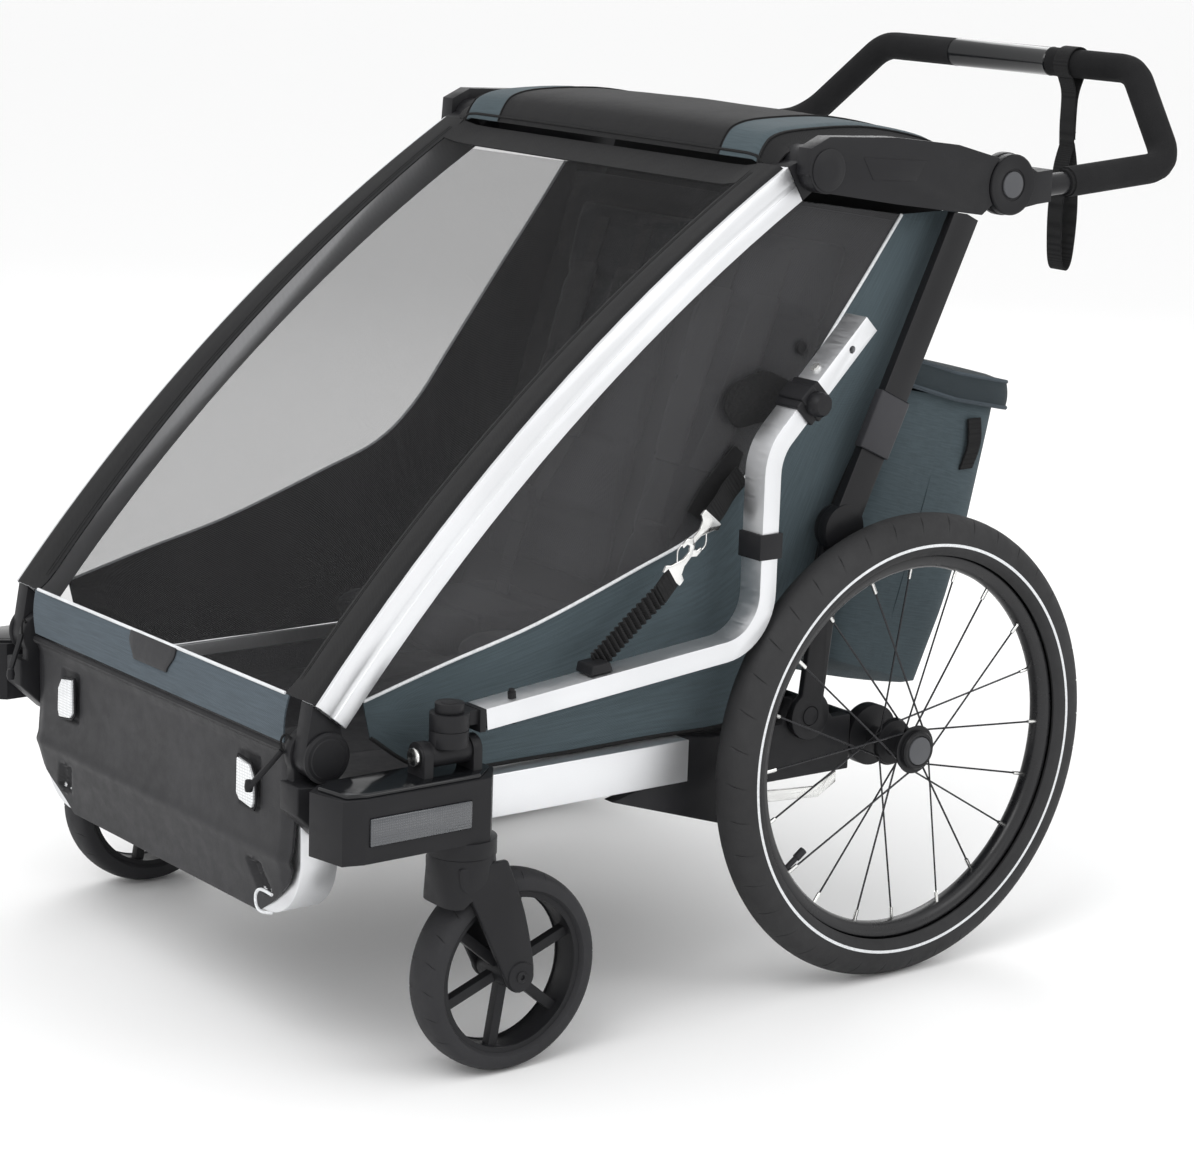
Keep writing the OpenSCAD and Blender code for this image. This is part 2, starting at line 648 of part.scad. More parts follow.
// ---- rear wheels, drawn about their own centre ----
tube_r = tyre_w / 2;
bead_r = wheel_r - 2 * tube_r + 4;
rim_in = bead_r - 14;
module rear_tyre() {
    rotate([0, 90, 0]) rotate_extrude($fn = 180) translate([wheel_r - tube_r, 0]) difference() {
        circle(tube_r);
        circle(tube_r - 3.5);
        translate([-tube_r - 1, -9]) square([tube_r, 18]);
    }
}
module rear_rim() {
    rotate([0, 90, 0]) rotate_extrude($fn = 180)
        polygon([[rim_in, -7], [rim_in, 7], [bead_r - 8, 12], [bead_r - 3.5, 12], [bead_r - 3.5, 9],
                 [bead_r - 7, 7], [bead_r - 7, -7], [bead_r - 3.5, -9], [bead_r - 3.5, -12],
                 [bead_r - 8, -12]]);
    for (i = [0:spoke_n - 1]) {
        a = 360 * i / spoke_n;
        s = i % 2 == 0 ? 1 : -1;
        lead = (i % 4 < 2) ? 60 : -60;
        rod_between([s * 15, 26 * cos(a + lead), 26 * sin(a + lead)],
                    [s * 4, (rim_in + 1) * cos(a), (rim_in + 1) * sin(a)], 1.1);
    }
}
module rear_hub() {
    difference() {
        union() {
            rod_x([0, 0], 14, -21, 22);
            rod_x([0, 0], 24, -18, -13);
            rod_x([0, 0], 24, 13, 18);
            rod_x([0, 0], 20, 18, 25);
        }
        rod_x([0, 0], 10 + run_fit, -30, -14.5);
        rod_x([0, 0], 15.3, 25 - axle_button_travel - 3.5, 30);
    }
}
module axle_button() { rod_x([0, 0], 15, 22, 27); }
module at_wheel(side) {
    from_axle() translate([side * wheel_x, 0, 0]) mirror([side < 0 ? 1 : 0, 0, 0]) children();
}
module rear_tyre_left() { color(black) at_wheel(1) rear_tyre(); }
module rear_tyre_right() { color(black) at_wheel(-1) rear_tyre(); }
module rear_rim_left() { color(charcoal) at_wheel(1) rear_rim(); }
module rear_rim_right() { color(charcoal) at_wheel(-1) rear_rim(); }
module rear_hub_left() { color(black) at_wheel(1) rear_hub(); }
module rear_hub_right() { color(black) at_wheel(-1) rear_hub(); }
module axle_button_left() { color(charcoal) at_wheel(1) axle_button(); }
module axle_button_right() { color(charcoal) at_wheel(-1) axle_button(); }

// ---- casters ----
module caster_fork() {
    crown_low = caster_z + caster_r + 3;
    leg_in = caster_w / 2 + 1.5;
    leg_t = 7;
    translate([caster_x, swivel_y, crown_low]) cylinder(h = collar_low - gap - crown_low, r = 33);
    translate([caster_x, swivel_y, collar_low - gap]) cylinder(h = 34, r = stem_r);
    for (s = [-1, 1]) {
        x0 = s > 0 ? caster_x + leg_in : caster_x - leg_in - leg_t;
        yz(x0, x0 + leg_t)
            polygon([[swivel_y - 22, collar_low - gap - 6], [swivel_y + 24, collar_low - gap - 6],
                     [swivel_y + 34, crown_low], [caster_y + 10, caster_z + 12],
                     [caster_y - 14, caster_z - 4], [swivel_y + 6, caster_z + 50]]);
        rod_x([caster_y, caster_z], 16, x0, x0 + leg_t);
    }
    rod_x([caster_y, caster_z], 6, caster_x - leg_in - 1, caster_x + leg_in + 1);
}
module caster_wheel() {
    translate([caster_x, caster_y, caster_z]) difference() {
        union() {
            rotate([0, 90, 0]) rotate_extrude($fn = 96) translate([caster_r - 24, -15]) square([8, 30]);
            rod_x([0, 0], 15, -caster_w / 2, caster_w / 2);
            for (i = [0:5]) rotate([60 * i + 20, 0, 0]) translate([-5, 10, -5]) cube([10, caster_r - 32, 10]);
        }
        rod_x([0, 0], 6 + run_fit, -40, 40);
    }
}
module caster_tyre() {
    translate([caster_x, caster_y, caster_z]) rotate([0, 90, 0]) rotate_extrude($fn = 96) union() {
        translate([caster_r - 15.9, -caster_w / 2]) square([10, caster_w]);
        translate([caster_r - 6, -caster_w / 2 + 6]) square([6, caster_w - 12]);
        translate([caster_r - 6, -caster_w / 2 + 6]) circle(6);
        translate([caster_r - 6, caster_w / 2 - 6]) circle(6);
    }
}
module caster_fork_left() { color(black) from_axle() caster_fork(); }
module caster_fork_right() { color(black) from_axle() mirror([1, 0, 0]) caster_fork(); }
module caster_wheel_left() { color(charcoal) from_axle() caster_wheel(); }
module caster_wheel_right() { color(charcoal) from_axle() mirror([1, 0, 0]) caster_wheel(); }
module caster_tyre_left() { color(black) from_axle() caster_tyre(); }
module caster_tyre_right() { color(black) from_axle() mirror([1, 0, 0]) caster_tyre(); }

lower_rails();
rear_rail_arms();
axle_beam();
brake_linkage();
floor_pan();
seat_base();
seat_back();
harness();
side_panels();
side_windows();
rear_cover();
cargo_bag();
front_hoop();
joint_housings();
front_panel();
front_reflectors();
side_reflectors();
caster_housing_left();
caster_housing_right();
hitch_bolt();
pull_tabs();
body_strap();
upper_hook();
front_tubes();
tube_collars();
front_cover();
front_band();
side_brackets();
roof_bows();
roof_cover();
rear_tubes();
fold_grips();
lower_struts();
handlebar_tube();
handlebar_grips();
centre_sleeve();
handlebar_hubs();
wrist_strap();
release_button_left();
release_button_right();
tow_arm_tube();
arm_fittings();
arm_strap();
lower_hook();
hitch_knuckle();
rear_tyre_left();
rear_tyre_right();
rear_rim_left();
rear_rim_right();
rear_hub_left();
rear_hub_right();
axle_button_left();
axle_button_right();
caster_fork_left();
caster_fork_right();
caster_wheel_left();
caster_wheel_right();
caster_tyre_left();
caster_tyre_right();
brake_pedal();
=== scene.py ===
# %% [markdown]
# # A child bicycle trailer
# The trailer's frame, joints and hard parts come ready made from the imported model. This script gives
# them their finish, and makes the fabric, tyres, wheels and trim that a plain solid can't show.
# Everything is in metres, the front is -Y, and the trailer's left side is +X.

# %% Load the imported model
import math

import bmesh
import bpy
from mathutils import Matrix, Vector, noise


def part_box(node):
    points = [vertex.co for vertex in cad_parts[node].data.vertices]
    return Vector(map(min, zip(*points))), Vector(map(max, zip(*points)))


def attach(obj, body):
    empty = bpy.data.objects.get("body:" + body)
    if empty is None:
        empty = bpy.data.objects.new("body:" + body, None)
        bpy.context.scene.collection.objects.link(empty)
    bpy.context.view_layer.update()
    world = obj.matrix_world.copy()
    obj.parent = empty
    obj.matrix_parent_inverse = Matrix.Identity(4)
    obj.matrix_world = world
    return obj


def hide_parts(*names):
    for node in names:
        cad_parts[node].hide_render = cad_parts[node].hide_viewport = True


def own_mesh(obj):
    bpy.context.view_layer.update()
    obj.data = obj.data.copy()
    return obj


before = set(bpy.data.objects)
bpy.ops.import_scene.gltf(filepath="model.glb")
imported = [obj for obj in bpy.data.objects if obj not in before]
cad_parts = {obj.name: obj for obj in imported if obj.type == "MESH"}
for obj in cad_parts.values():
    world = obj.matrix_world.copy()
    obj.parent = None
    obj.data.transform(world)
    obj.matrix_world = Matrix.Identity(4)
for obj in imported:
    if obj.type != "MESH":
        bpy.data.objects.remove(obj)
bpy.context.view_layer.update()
scene = bpy.context.scene


def middle(node):
    """The centre of a CAD node's box."""
    low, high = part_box(node)
    return (low + high) / 2


AXLE = middle("rear_tyre_left")
WHEEL_X, WHEEL_R = AXLE.x, AXLE.z
TUBE_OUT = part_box("front_tubes")[1].x
TUBE_IN = TUBE_OUT - 0.028
print("rear axle at", tuple(round(v, 4) for v in AXLE), "and the tubes' outer face at", round(TUBE_OUT, 4))


def at(x, y, z):
    """A point given from the middle of the rear axle line."""
    return Vector((x, AXLE.y + y, AXLE.z + z))


# %% [markdown]
# ## Camera
# The camera stands ahead and to the left, a little above the roof, with a long lens.

# %% Camera
LENS_MM = 96.70
CAMERA_AT = Vector((2.72665, -2.11362, 1.16312))
YAW, PITCH, ROLL = math.radians(52.2), math.radians(12.95), math.radians(1.89)
forward = Vector((-math.sin(YAW) * math.cos(PITCH), math.cos(YAW) * math.cos(PITCH), -math.sin(PITCH)))
level_right = Vector((math.cos(YAW), math.sin(YAW), 0))
level_up = level_right.cross(forward)
cam_right = level_right * math.cos(ROLL) + level_up * math.sin(ROLL)
cam_up = level_up * math.cos(ROLL) - level_right * math.sin(ROLL)
camera_data = bpy.data.cameras.new("camera")
camera_data.lens = LENS_MM
camera_data.sensor_width = 36
camera = bpy.data.objects.new("camera", camera_data)
scene.collection.objects.link(camera)
turn = Matrix((cam_right, cam_up, -forward)).transposed()
camera.matrix_world = Matrix.Translation(CAMERA_AT) @ turn.to_4x4()
scene.camera = camera
print("camera looks along", tuple(round(v, 3) for v in forward))

# %% Helpers for selecting and finishing
def deselect():
    """Leaves edit mode and clears the selection, so that the next operator acts on nothing else."""
    if bpy.context.mode != "OBJECT":
        bpy.ops.object.mode_set(mode="OBJECT")
    bpy.ops.object.select_all(action="DESELECT")


def only(obj):
    """Makes obj the one selected, active object."""
    deselect()
    obj.select_set(True)
    bpy.context.view_layer.objects.active = obj
    return obj


def use(obj, kind, **settings):
    """Adds a modifier, sets it and applies it."""
    only(obj)
    modifier = obj.modifiers.new(kind.title(), kind)
    for key, value in settings.items():
        setattr(modifier, key, value)
    bpy.ops.object.modifier_apply(modifier=modifier.name)
    return obj


def edit(obj, *steps):
    """Runs edit-mode steps on the whole mesh of obj."""
    only(obj)
    bpy.ops.object.mode_set(mode="EDIT")
    bpy.ops.mesh.select_all(action="SELECT")
    for step in steps:
        step()
    bpy.ops.object.mode_set(mode="OBJECT")
    return obj


def merge():
    bpy.ops.mesh.remove_doubles(threshold=0.00002)


def outwards():
    bpy.ops.mesh.normals_make_consistent(inside=False)


def done(obj, body, material, slot=None, replaces=(), smooth=32):
    """Smooths a finished mesh by angle, puts its place in the mesh, and gives it body and finish. The slot is
    not used.
    """
    only(obj)
    bpy.ops.object.transform_apply(location=True, rotation=True, scale=True)
    if smooth:
        bpy.ops.object.shade_smooth_by_angle(angle=math.radians(smooth))
    obj.data.materials.clear()
    for each in material if isinstance(material, (list, tuple)) else [material]:
        obj.data.materials.append(each)
    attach(obj, body)
    if replaces:
        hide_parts(*([replaces] if isinstance(replaces, str) else replaces))
    return obj


def sealed(obj):
    """Closes a mesh where its grid comes together, and turns its faces outwards."""
    return edit(obj, merge, lambda: bpy.ops.mesh.dissolve_degenerate(threshold=0.00001), outwards)


def thicken(obj, thickness, offset=0):
    """Gives a sheet its thickness, about its middle or, with an offset of -1, inwards."""
    return use(obj, "SOLIDIFY", thickness=thickness, offset=offset)


def round_edges(obj, width, segments, angle):
    """Rounds the edges that turn by more than angle degrees."""
    return use(obj, "BEVEL", width=width, segments=segments, limit_method="ANGLE",
               angle_limit=math.radians(angle))


def line_inside(obj, inward, material):
    """Gives the faces of a sheet that look inwards a lining of their own."""
    obj.data.materials.append(material)
    for face in obj.data.polygons:
        if face.normal.dot(inward) > 0.2:
            face.material_index = len(obj.data.materials) - 1


def name_it(name):
    obj = bpy.context.active_object
    obj.name = obj.data.name = name
    return obj


def joined(name, objs):
    """Joins several meshes into one piece."""
    only(objs[0])
    for obj in objs:
        obj.select_set(True)
    bpy.ops.object.join()
    return name_it(name)


def mirrored(obj, name):
    """A copy of obj on the other side of the trailer, with its own mesh."""
    twin = obj.copy()
    twin.data = obj.data.copy()
    twin.name = twin.data.name = name
    scene.collection.objects.link(twin)
    twin.data.transform(Matrix.Scale(-1, 4, (1, 0, 0)))
    twin.data.flip_normals()
    return twin


# %% [markdown]
# ## Ways to make a shape
# Four helpers cover most pieces. A grid is laid over a formula for cloth. An outline is filled and
# extruded for a plate. A profile is spun for anything turned, and a line is given thickness for
# tube, wire and piping. A CAD part whose shape is right is copied, cleaned and given soft edges.

# %% Shape helpers
def cloth(name, nu, nv, place, size):
    """A grid of nu by nv squares whose point (s, t) lies at place(s, t). Its UV map is in metres."""
    deselect()
    bpy.ops.mesh.primitive_grid_add(x_subdivisions=nu, y_subdivisions=nv, size=1)
    obj = name_it(name)
    mesh = obj.data
    uv = mesh.uv_layers[0].data
    for loop in mesh.loops:
        v = mesh.vertices[loop.vertex_index].co
        uv[loop.index].uv = ((v.x + 0.5) * size[0], (v.y + 0.5) * size[1])
    for v in mesh.vertices:
        v.co = place(v.co.x + 0.5, v.co.y + 0.5)
    mesh.update()
    return obj


def plate(name, outline, axis, low, high, bevel=0.0, segments=3):
    """An outline of (a, b) points filled and extruded along an axis from low to high."""
    order = {"X": lambda a, b, h: (h, a, b), "Y": lambda a, b, h: (a, h, b), "Z": lambda a, b,
             h: (a, b, h)}[axis]
    deselect()
    bpy.ops.mesh.primitive_circle_add(vertices=len(outline), radius=1, fill_type="NGON")
    obj = name_it(name)
    for v, (a, b) in zip(obj.data.vertices, outline):
        v.co = order(a, b, low)
    step = Vector(order(0, 0, high - low))
    edit(obj, lambda: bpy.ops.mesh.extrude_region_move(TRANSFORM_OT_translate={"value": step}),
         lambda: bpy.ops.mesh.select_all(action="SELECT"), outwards)
    if bevel:
        round_edges(obj, bevel, segments, 30)
    return obj


def turned(name, profile, centre, axis="X", steps=64):
    """A closed profile of (radius, along) points spun about an axis through centre."""
    deselect()
    bpy.ops.mesh.primitive_circle_add(vertices=len(profile), radius=1, fill_type="NOTHING")
    obj = name_it(name)
    lines = {"X": (Vector((1, 0, 0)), Vector((0, 0, 1))), "Y": (Vector((0, 1, 0)), Vector((0, 0, 1))),
             "Z": (Vector((0, 0, 1)), Vector((1, 0, 0)))}
    along, out = lines[axis]
    for v, (r, h) in zip(obj.data.vertices, profile):
        v.co = centre + along * h + out * r
    edit(obj, lambda: bpy.ops.mesh.spin(steps=steps, angle=2 * math.pi, center=centre, axis=along),
         lambda: bpy.ops.mesh.select_all(action="SELECT"), merge,
         lambda: bpy.ops.mesh.dissolve_degenerate(threshold=0.00001), outwards)
    return obj


def wire(name, points, radius, sides=8, closed=False):
    """A round wire, cord of piping or tube along points."""
    deselect()
    data = bpy.data.curves.new(name, "CURVE")
    data.dimensions = "3D"
    spline = data.splines.new("POLY")
    spline.points.add(len(points) - 1)
    for p, point in zip(spline.points, points):
        p.co = (*point, 1)
    spline.use_cyclic_u = closed
    data.bevel_depth = radius
    data.bevel_resolution = max(1, sides // 4 - 1)
    data.use_fill_caps = not closed
    obj = bpy.data.objects.new(name, data)
    scene.collection.objects.link(obj)
    only(obj)
    bpy.ops.object.convert(target="MESH")
    return edit(name_it(name), merge, outwards)


def ribbon(name, points, across, width, thick):
    """A flat strap of webbing along points. across is the strap's width direction."""
    across = Vector(across).normalized()
    n = len(points)
    length = sum((points[i + 1] - points[i]).length for i in range(n - 1))

    def place(s, t):
        i = min(int(s * (n - 1) + 1e-6), n - 2)
        f = s * (n - 1) - i
        return points[i].lerp(points[i + 1], f) + across * (t - 0.5) * width

    strap = cloth(name, n - 1, 4, place, (length, width))
    thicken(strap, thick)
    return round_edges(strap, thick * 0.3, 1, 50)


def smooth_line(knots, per_span=6):
    """A smooth line through knots, as a Catmull-Rom curve."""
    pts = [knots[0]] + list(knots) + [knots[-1]]
    line = []
    for i in range(1, len(pts) - 2):
        a, b, c, d = pts[i - 1:i + 3]
        for k in range(per_span):
            t = k / per_span
            line.append(0.5 * (2 * b + (c - a) * t + (2 * a - 5 * b + 4 * c - d) * t * t
                               + (3 * b - a - 3 * c + d) * t ** 3))
    return line + [knots[-1].copy()]


def soft_edged(node, name, bevel=0.0015, segments=2, angle=28):
    """A cleaned copy of a CAD node's mesh whose sharp edges are rounded over."""
    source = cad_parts[node]
    obj = bpy.data.objects.new(name, source.data.copy())
    scene.collection.objects.link(obj)
    obj.data.name = name
    edit(obj, lambda: bpy.ops.mesh.remove_doubles(threshold=0.00001),
         lambda: bpy.ops.mesh.dissolve_limited(angle_limit=math.radians(1)))
    if bevel:
        use(obj, "BEVEL", width=bevel, segments=segments, limit_method="ANGLE",
            angle_limit=math.radians(angle), use_clamp_overlap=True)
    return obj


# %% [markdown]
# ## Finishes
# Each material carries the detail that its real counterpart has. Three effects are shared: the
# fine grain of moulded plastic, the weave of cloth, and the slow change of tone that handling
# leaves. Each is a node group that is built once, and every material sets its own values on it.

# %% Node group helpers
def new_group(name, inputs, outputs):
    """An empty shader node group with its sockets, and the nodes at its two ends."""
    group = bpy.data.node_groups.new(name, "ShaderNodeTree")
    for label, kind, value in inputs:
        socket = group.interface.new_socket(label, in_out="INPUT", socket_type=kind)
        if value is not None:
            socket.default_value = value
    for label, kind in outputs:
        group.interface.new_socket(label, in_out="OUTPUT", socket_type=kind)
    return group, group.nodes.new("NodeGroupInput"), group.nodes.new("NodeGroupOutput")


def add(tree, kind, **values):
    """A node with some of its input sockets or properties set."""
    node = tree.nodes.new(kind)
    for key, value in values.items():
        if key in node.inputs:
            node.inputs[key].default_value = value
        else:
            setattr(node, key, value)
    return node


def math_node(tree, operation, a, b=0.0):
    """A math node; a and b are sockets or numbers."""
    node = add(tree, "ShaderNodeMath", operation=operation)
    for socket, value in zip(node.inputs, (a, b)):
        if isinstance(value, (int, float)):
            socket.default_value = value
        else:
            tree.links.new(value, socket)
    return node.outputs[0]


def noise_node(tree, vector, scale, detail=2.0, rough=0.5):
    node = add(tree, "ShaderNodeTexNoise")
    node.inputs["Scale"].default_value = scale
    node.inputs["Detail"].default_value = detail
    node.inputs["Roughness"].default_value = rough
    tree.links.new(vector, node.inputs["Vector"])
    return node.outputs["Fac"]


# %% Shared effects
grain, ends_in, ends_out = new_group(
    "moulded_grain", [("Vector", "NodeSocketVector", None), ("Scale", "NodeSocketFloat", 1.0)],
    [("Height", "NodeSocketFloat")])
scaled = add(grain, "ShaderNodeVectorMath", operation="SCALE")
grain.links.new(ends_in.outputs["Vector"], scaled.inputs[0])
grain.links.new(ends_in.outputs["Scale"], scaled.inputs["Scale"])
pebble = add(grain, "ShaderNodeTexVoronoi", Scale=900.0)
grain.links.new(scaled.outputs[0], pebble.inputs["Vector"])
grain.links.new(pebble.outputs["Distance"], ends_out.inputs["Height"])

handling, ends_in, ends_out = new_group(
    "handling", [("Vector", "NodeSocketVector", None)],
    [("Slow", "NodeSocketFloat"), ("Dust", "NodeSocketFloat")])
handling.links.new(noise_node(handling, ends_in.outputs[0], 6.0, 3.0), ends_out.inputs["Slow"])
handling.links.new(noise_node(handling, ends_in.outputs[0], 60.0, 5.0, 0.65), ends_out.inputs["Dust"])

weave, ends_in, ends_out = new_group(
    "cloth_weave", [("Vector", "NodeSocketVector", None), ("Threads", "NodeSocketFloat", 450.0)],
    [("Height", "NodeSocketFloat"), ("Heather", "NodeSocketFloat")])
scaled = add(weave, "ShaderNodeVectorMath", operation="SCALE")
weave.links.new(ends_in.outputs["Vector"], scaled.inputs[0])
weave.links.new(ends_in.outputs["Threads"], scaled.inputs["Scale"])
axes = add(weave, "ShaderNodeSeparateXYZ")
weave.links.new(scaled.outputs[0], axes.inputs[0])
warp = math_node(weave, "SINE", math_node(weave, "MULTIPLY", axes.outputs["X"], 2 * math.pi))
weft = math_node(weave, "SINE", math_node(weave, "MULTIPLY", axes.outputs["Y"], 2 * math.pi))
weave.links.new(math_node(weave, "MULTIPLY", warp, weft), ends_out.inputs["Height"])
streak = add(weave, "ShaderNodeMapping")
streak.inputs["Scale"].default_value = (0.05, 1.0, 1.0)
weave.links.new(scaled.outputs[0], streak.inputs["Vector"])
weave.links.new(noise_node(weave, streak.outputs[0], 1.2, 3.0), ends_out.inputs["Heather"])


# %% A finish, from its colour, its groups and its own numbers
def linear(r, g, b):
    """A colour given as 0 to 255 turned into Blender's linear values."""
    return tuple((v / 255 / 12.92) if v / 255 <= 0.04045 else ((v / 255 + 0.055) / 1.055) ** 2.4
                 for v in (r, g, b))


def tone(color, factor):
    return (*[min(1.0, c * factor) for c in color], 1.0)


def new_finish(name, coords="Object"):
    """A material with its Principled shader and the coordinates that its patterns read."""
    material = bpy.data.materials.new(name)
    material.use_nodes = True
    tree = material.node_tree
    shader = tree.nodes["Principled BSDF"]
    place = tree.nodes.new("ShaderNodeTexCoord").outputs[coords]
    return material, tree, shader, place


def group_node(tree, group, place, **values):
    node = add(tree, "ShaderNodeGroup", node_tree=group)
    tree.links.new(place, node.inputs["Vector"])
    for key, value in values.items():
        node.inputs[key].default_value = value
    return node


def between(tree, mask, low, high, target, from_low=0.35, from_high=0.65):
    """Drives a number socket between low and high by a mask."""
    node = add(tree, "ShaderNodeMapRange")
    for key, value in (("From Min", from_low), ("From Max", from_high), ("To Min", low), ("To Max", high)):
        node.inputs[key].default_value = value
    tree.links.new(mask, node.inputs["Value"])
    tree.links.new(node.outputs["Result"], target)


def two_tones(tree, mask, dark, light, target, low=0.35, high=0.65):
    """Drives a colour socket between two tones by a mask."""
    ramp = add(tree, "ShaderNodeValToRGB")
    ramp.color_ramp.elements[0].position = low
    ramp.color_ramp.elements[1].position = high
    ramp.color_ramp.elements[0].color = dark
    ramp.color_ramp.elements[1].color = light
    tree.links.new(mask, ramp.inputs["Fac"])
    tree.links.new(ramp.outputs["Color"], target)


def relief(tree, height, shader, distance, strength=1.0, below=None):
    """A bump that feeds the shader's normal."""
    bump = add(tree, "ShaderNodeBump")
    bump.inputs["Strength"].default_value = strength
    bump.inputs["Distance"].default_value = distance
    tree.links.new(height, bump.inputs["Height"])
    if below is not None:
        tree.links.new(below, bump.inputs["Normal"])
    tree.links.new(bump.outputs["Normal"], shader.inputs["Normal"])
    return bump.outputs["Normal"]


def plastic(name, rgb, rough, grain_depth=0.00006, grain_scale=1.0, spread=0.06, coat=0.0, shine=0.22):
    """Moulded plastic: fine pebble grain, and slow changes of gloss where hands have rubbed it."""
    material, tree, shader, place = new_finish(name)
    pebbles = group_node(tree, grain, place, Scale=grain_scale)
    hands = group_node(tree, handling, place)
    color = linear(*rgb)
    two_tones(tree, hands.outputs["Slow"], tone(color, 0.86), tone(color, 1.14), shader.inputs["Base Color"])
    between(tree, hands.outputs["Dust"], rough - spread, rough + spread, shader.inputs["Roughness"])
    relief(tree, pebbles.outputs["Height"], shader, grain_depth)
    shader.inputs["Coat Weight"].default_value = coat
    shader.inputs["Specular IOR Level"].default_value = shine
    return material


def fabric(name, rgb, threads, rough=0.85, sheen=0.05, depth=0.00012, contrast=0.12, coords="UV", crease=0.0):
    """Woven cloth: crossed threads in the relief, and yarn that varies a little along each thread."""
    material, tree, shader, place = new_finish(name, coords)
    threads_node = group_node(tree, weave, place, Threads=threads)
    color = linear(*rgb)
    two_tones(tree, threads_node.outputs["Heather"], tone(color, 1 - contrast), tone(color, 1 + contrast),
              shader.inputs["Base Color"])
    between(tree, threads_node.outputs["Heather"], rough - 0.05, rough + 0.05, shader.inputs["Roughness"])
    below = None
    if crease:
        below = relief(tree, noise_node(tree, place, 9.0, 4.0), shader, crease)
    relief(tree, threads_node.outputs["Height"], shader, depth, below=below)
    shader.inputs["Sheen Weight"].default_value = sheen
    shader.inputs["Sheen Roughness"].default_value = 0.5
    shader.inputs["Specular IOR Level"].default_value = 0.15
    return material


def metal(name, rgb, rough, streak_scale=(4.0, 60.0, 60.0), depth=0.00001):
    """Anodised or plated metal: fine lines left by the die or brush, and a slow change of gloss."""
    material, tree, shader, place = new_finish(name)
    lines = add(tree, "ShaderNodeMapping")
    lines.inputs["Scale"].default_value = streak_scale
    tree.links.new(place, lines.inputs["Vector"])
    streaks = noise_node(tree, lines.outputs[0], 12.0, 3.0)
    hands = group_node(tree, handling, place)
    color = linear(*rgb)
    two_tones(tree, hands.outputs["Slow"], tone(color, 0.95), tone(color, 1.03), shader.inputs["Base Color"])
    between(tree, streaks, rough - 0.05, rough + 0.07, shader.inputs["Roughness"])
    relief(tree, streaks, shader, depth, 0.4)
    shader.inputs["Metallic"].default_value = 1.0
    return material


black_plastic = plastic("black plastic", (30, 30, 32), 0.44, shine=0.18)
panel_plastic = plastic("panel plastic", (44, 44, 46), 0.5, grain_depth=0.00009, grain_scale=0.8)
gloss_plastic = plastic("gloss black plastic", (20, 21, 23), 0.16, grain_depth=0.000004, spread=0.04,
                        shine=0.4)
grey_plastic = plastic("grey plastic", (84, 85, 88), 0.45)
grip_plastic = plastic("dark grey grip", (52, 52, 55), 0.5)
painted_black = plastic("black powder coat", (26, 26, 28), 0.36, grain_depth=0.00003, grain_scale=1.6)
rim_black = plastic("black anodised rim", (24, 24, 26), 0.3, grain_depth=0.00001, shine=0.4)
tyre_rubber = plastic("tyre rubber", (46, 46, 47), 0.72, grain_depth=0.00008, grain_scale=0.6, spread=0.08)
caster_rubber = plastic("caster rubber", (42, 42, 44), 0.66, grain_depth=0.00007, grain_scale=0.7)
foam = plastic("foam grip", (34, 34, 35), 0.88, grain_depth=0.0004, grain_scale=0.9, shine=0.1)
alloy = metal("satin aluminium", (226, 227, 229), 0.42, depth=0.000004)
zinc = metal("bright zinc", (232, 232, 230), 0.2, streak_scale=(20.0, 20.0, 20.0))
spoke_black = metal("blackened spoke steel", (58, 58, 60), 0.3, streak_scale=(30.0, 30.0, 30.0))
slate_cloth = fabric("slate cloth", (70, 81, 86), 420.0, crease=0.004)
lid_cloth = fabric("dark slate lid", (50, 58, 62), 420.0, crease=0.004)
band_cloth = fabric("slate band", (76, 85, 92), 420.0, crease=0.002)
black_cloth = fabric("black cloth", (34, 34, 35), 420.0, crease=0.004)
seat_cloth = fabric("seat cloth", (30, 31, 33), 300.0, coords="Object", contrast=0.2)
webbing = fabric("webbing", (26, 26, 27), 700.0, depth=0.0003, contrast=0.25, coords="Object")
piping_white = fabric("pale piping", (214, 216, 218), 600.0, rough=0.5, sheen=0.0, depth=0.00005,
                      coords="Object")


# %% [markdown]
# Three finishes need more than a colour and a relief. The window is a smoked film that lets most of
# the light through, the front cover is an open mesh whose holes are real gaps in the cloth, and a
# reflector is clear plastic over rows of small prisms.

# %% Film, mesh and reflectors
def see_through(name, rgb, clear, rough, holes=0.0, crease=0.0):
    """Thin cloth or film that hides only part of what lies behind. holes is the pitch of an open mesh."""
    material, tree, shader, place = new_finish(name, "UV")
    hands = group_node(tree, handling, place)
    color = linear(*rgb)
    two_tones(tree, hands.outputs["Slow"], tone(color, 0.9), tone(color, 1.1), shader.inputs["Base Color"])
    between(tree, hands.outputs["Dust"], rough - 0.04, rough + 0.06, shader.inputs["Roughness"])
    if holes:
        turned_place = add(tree, "ShaderNodeMapping")
        turned_place.inputs["Rotation"].default_value = (0, 0, math.radians(45))
        turned_place.inputs["Scale"].default_value = (1 / holes,) * 3
        tree.links.new(place, turned_place.inputs["Vector"])
        cells = add(tree, "ShaderNodeTexVoronoi", Scale=1.0, Randomness=0.0)
        tree.links.new(turned_place.outputs[0], cells.inputs["Vector"])
        between(tree, cells.outputs["Distance"], 1 - clear - 0.22, 1 - clear + 0.22, shader.inputs["Alpha"],
                0.1, 0.6)
        relief(tree, cells.outputs["Distance"], shader, 0.0002)
    else:
        shader.inputs["Alpha"].default_value = 1 - clear
        if crease:
            relief(tree, noise_node(tree, place, 5.0, 3.0), shader, crease)
    shader.inputs["Specular IOR Level"].default_value = 0.2
    return material


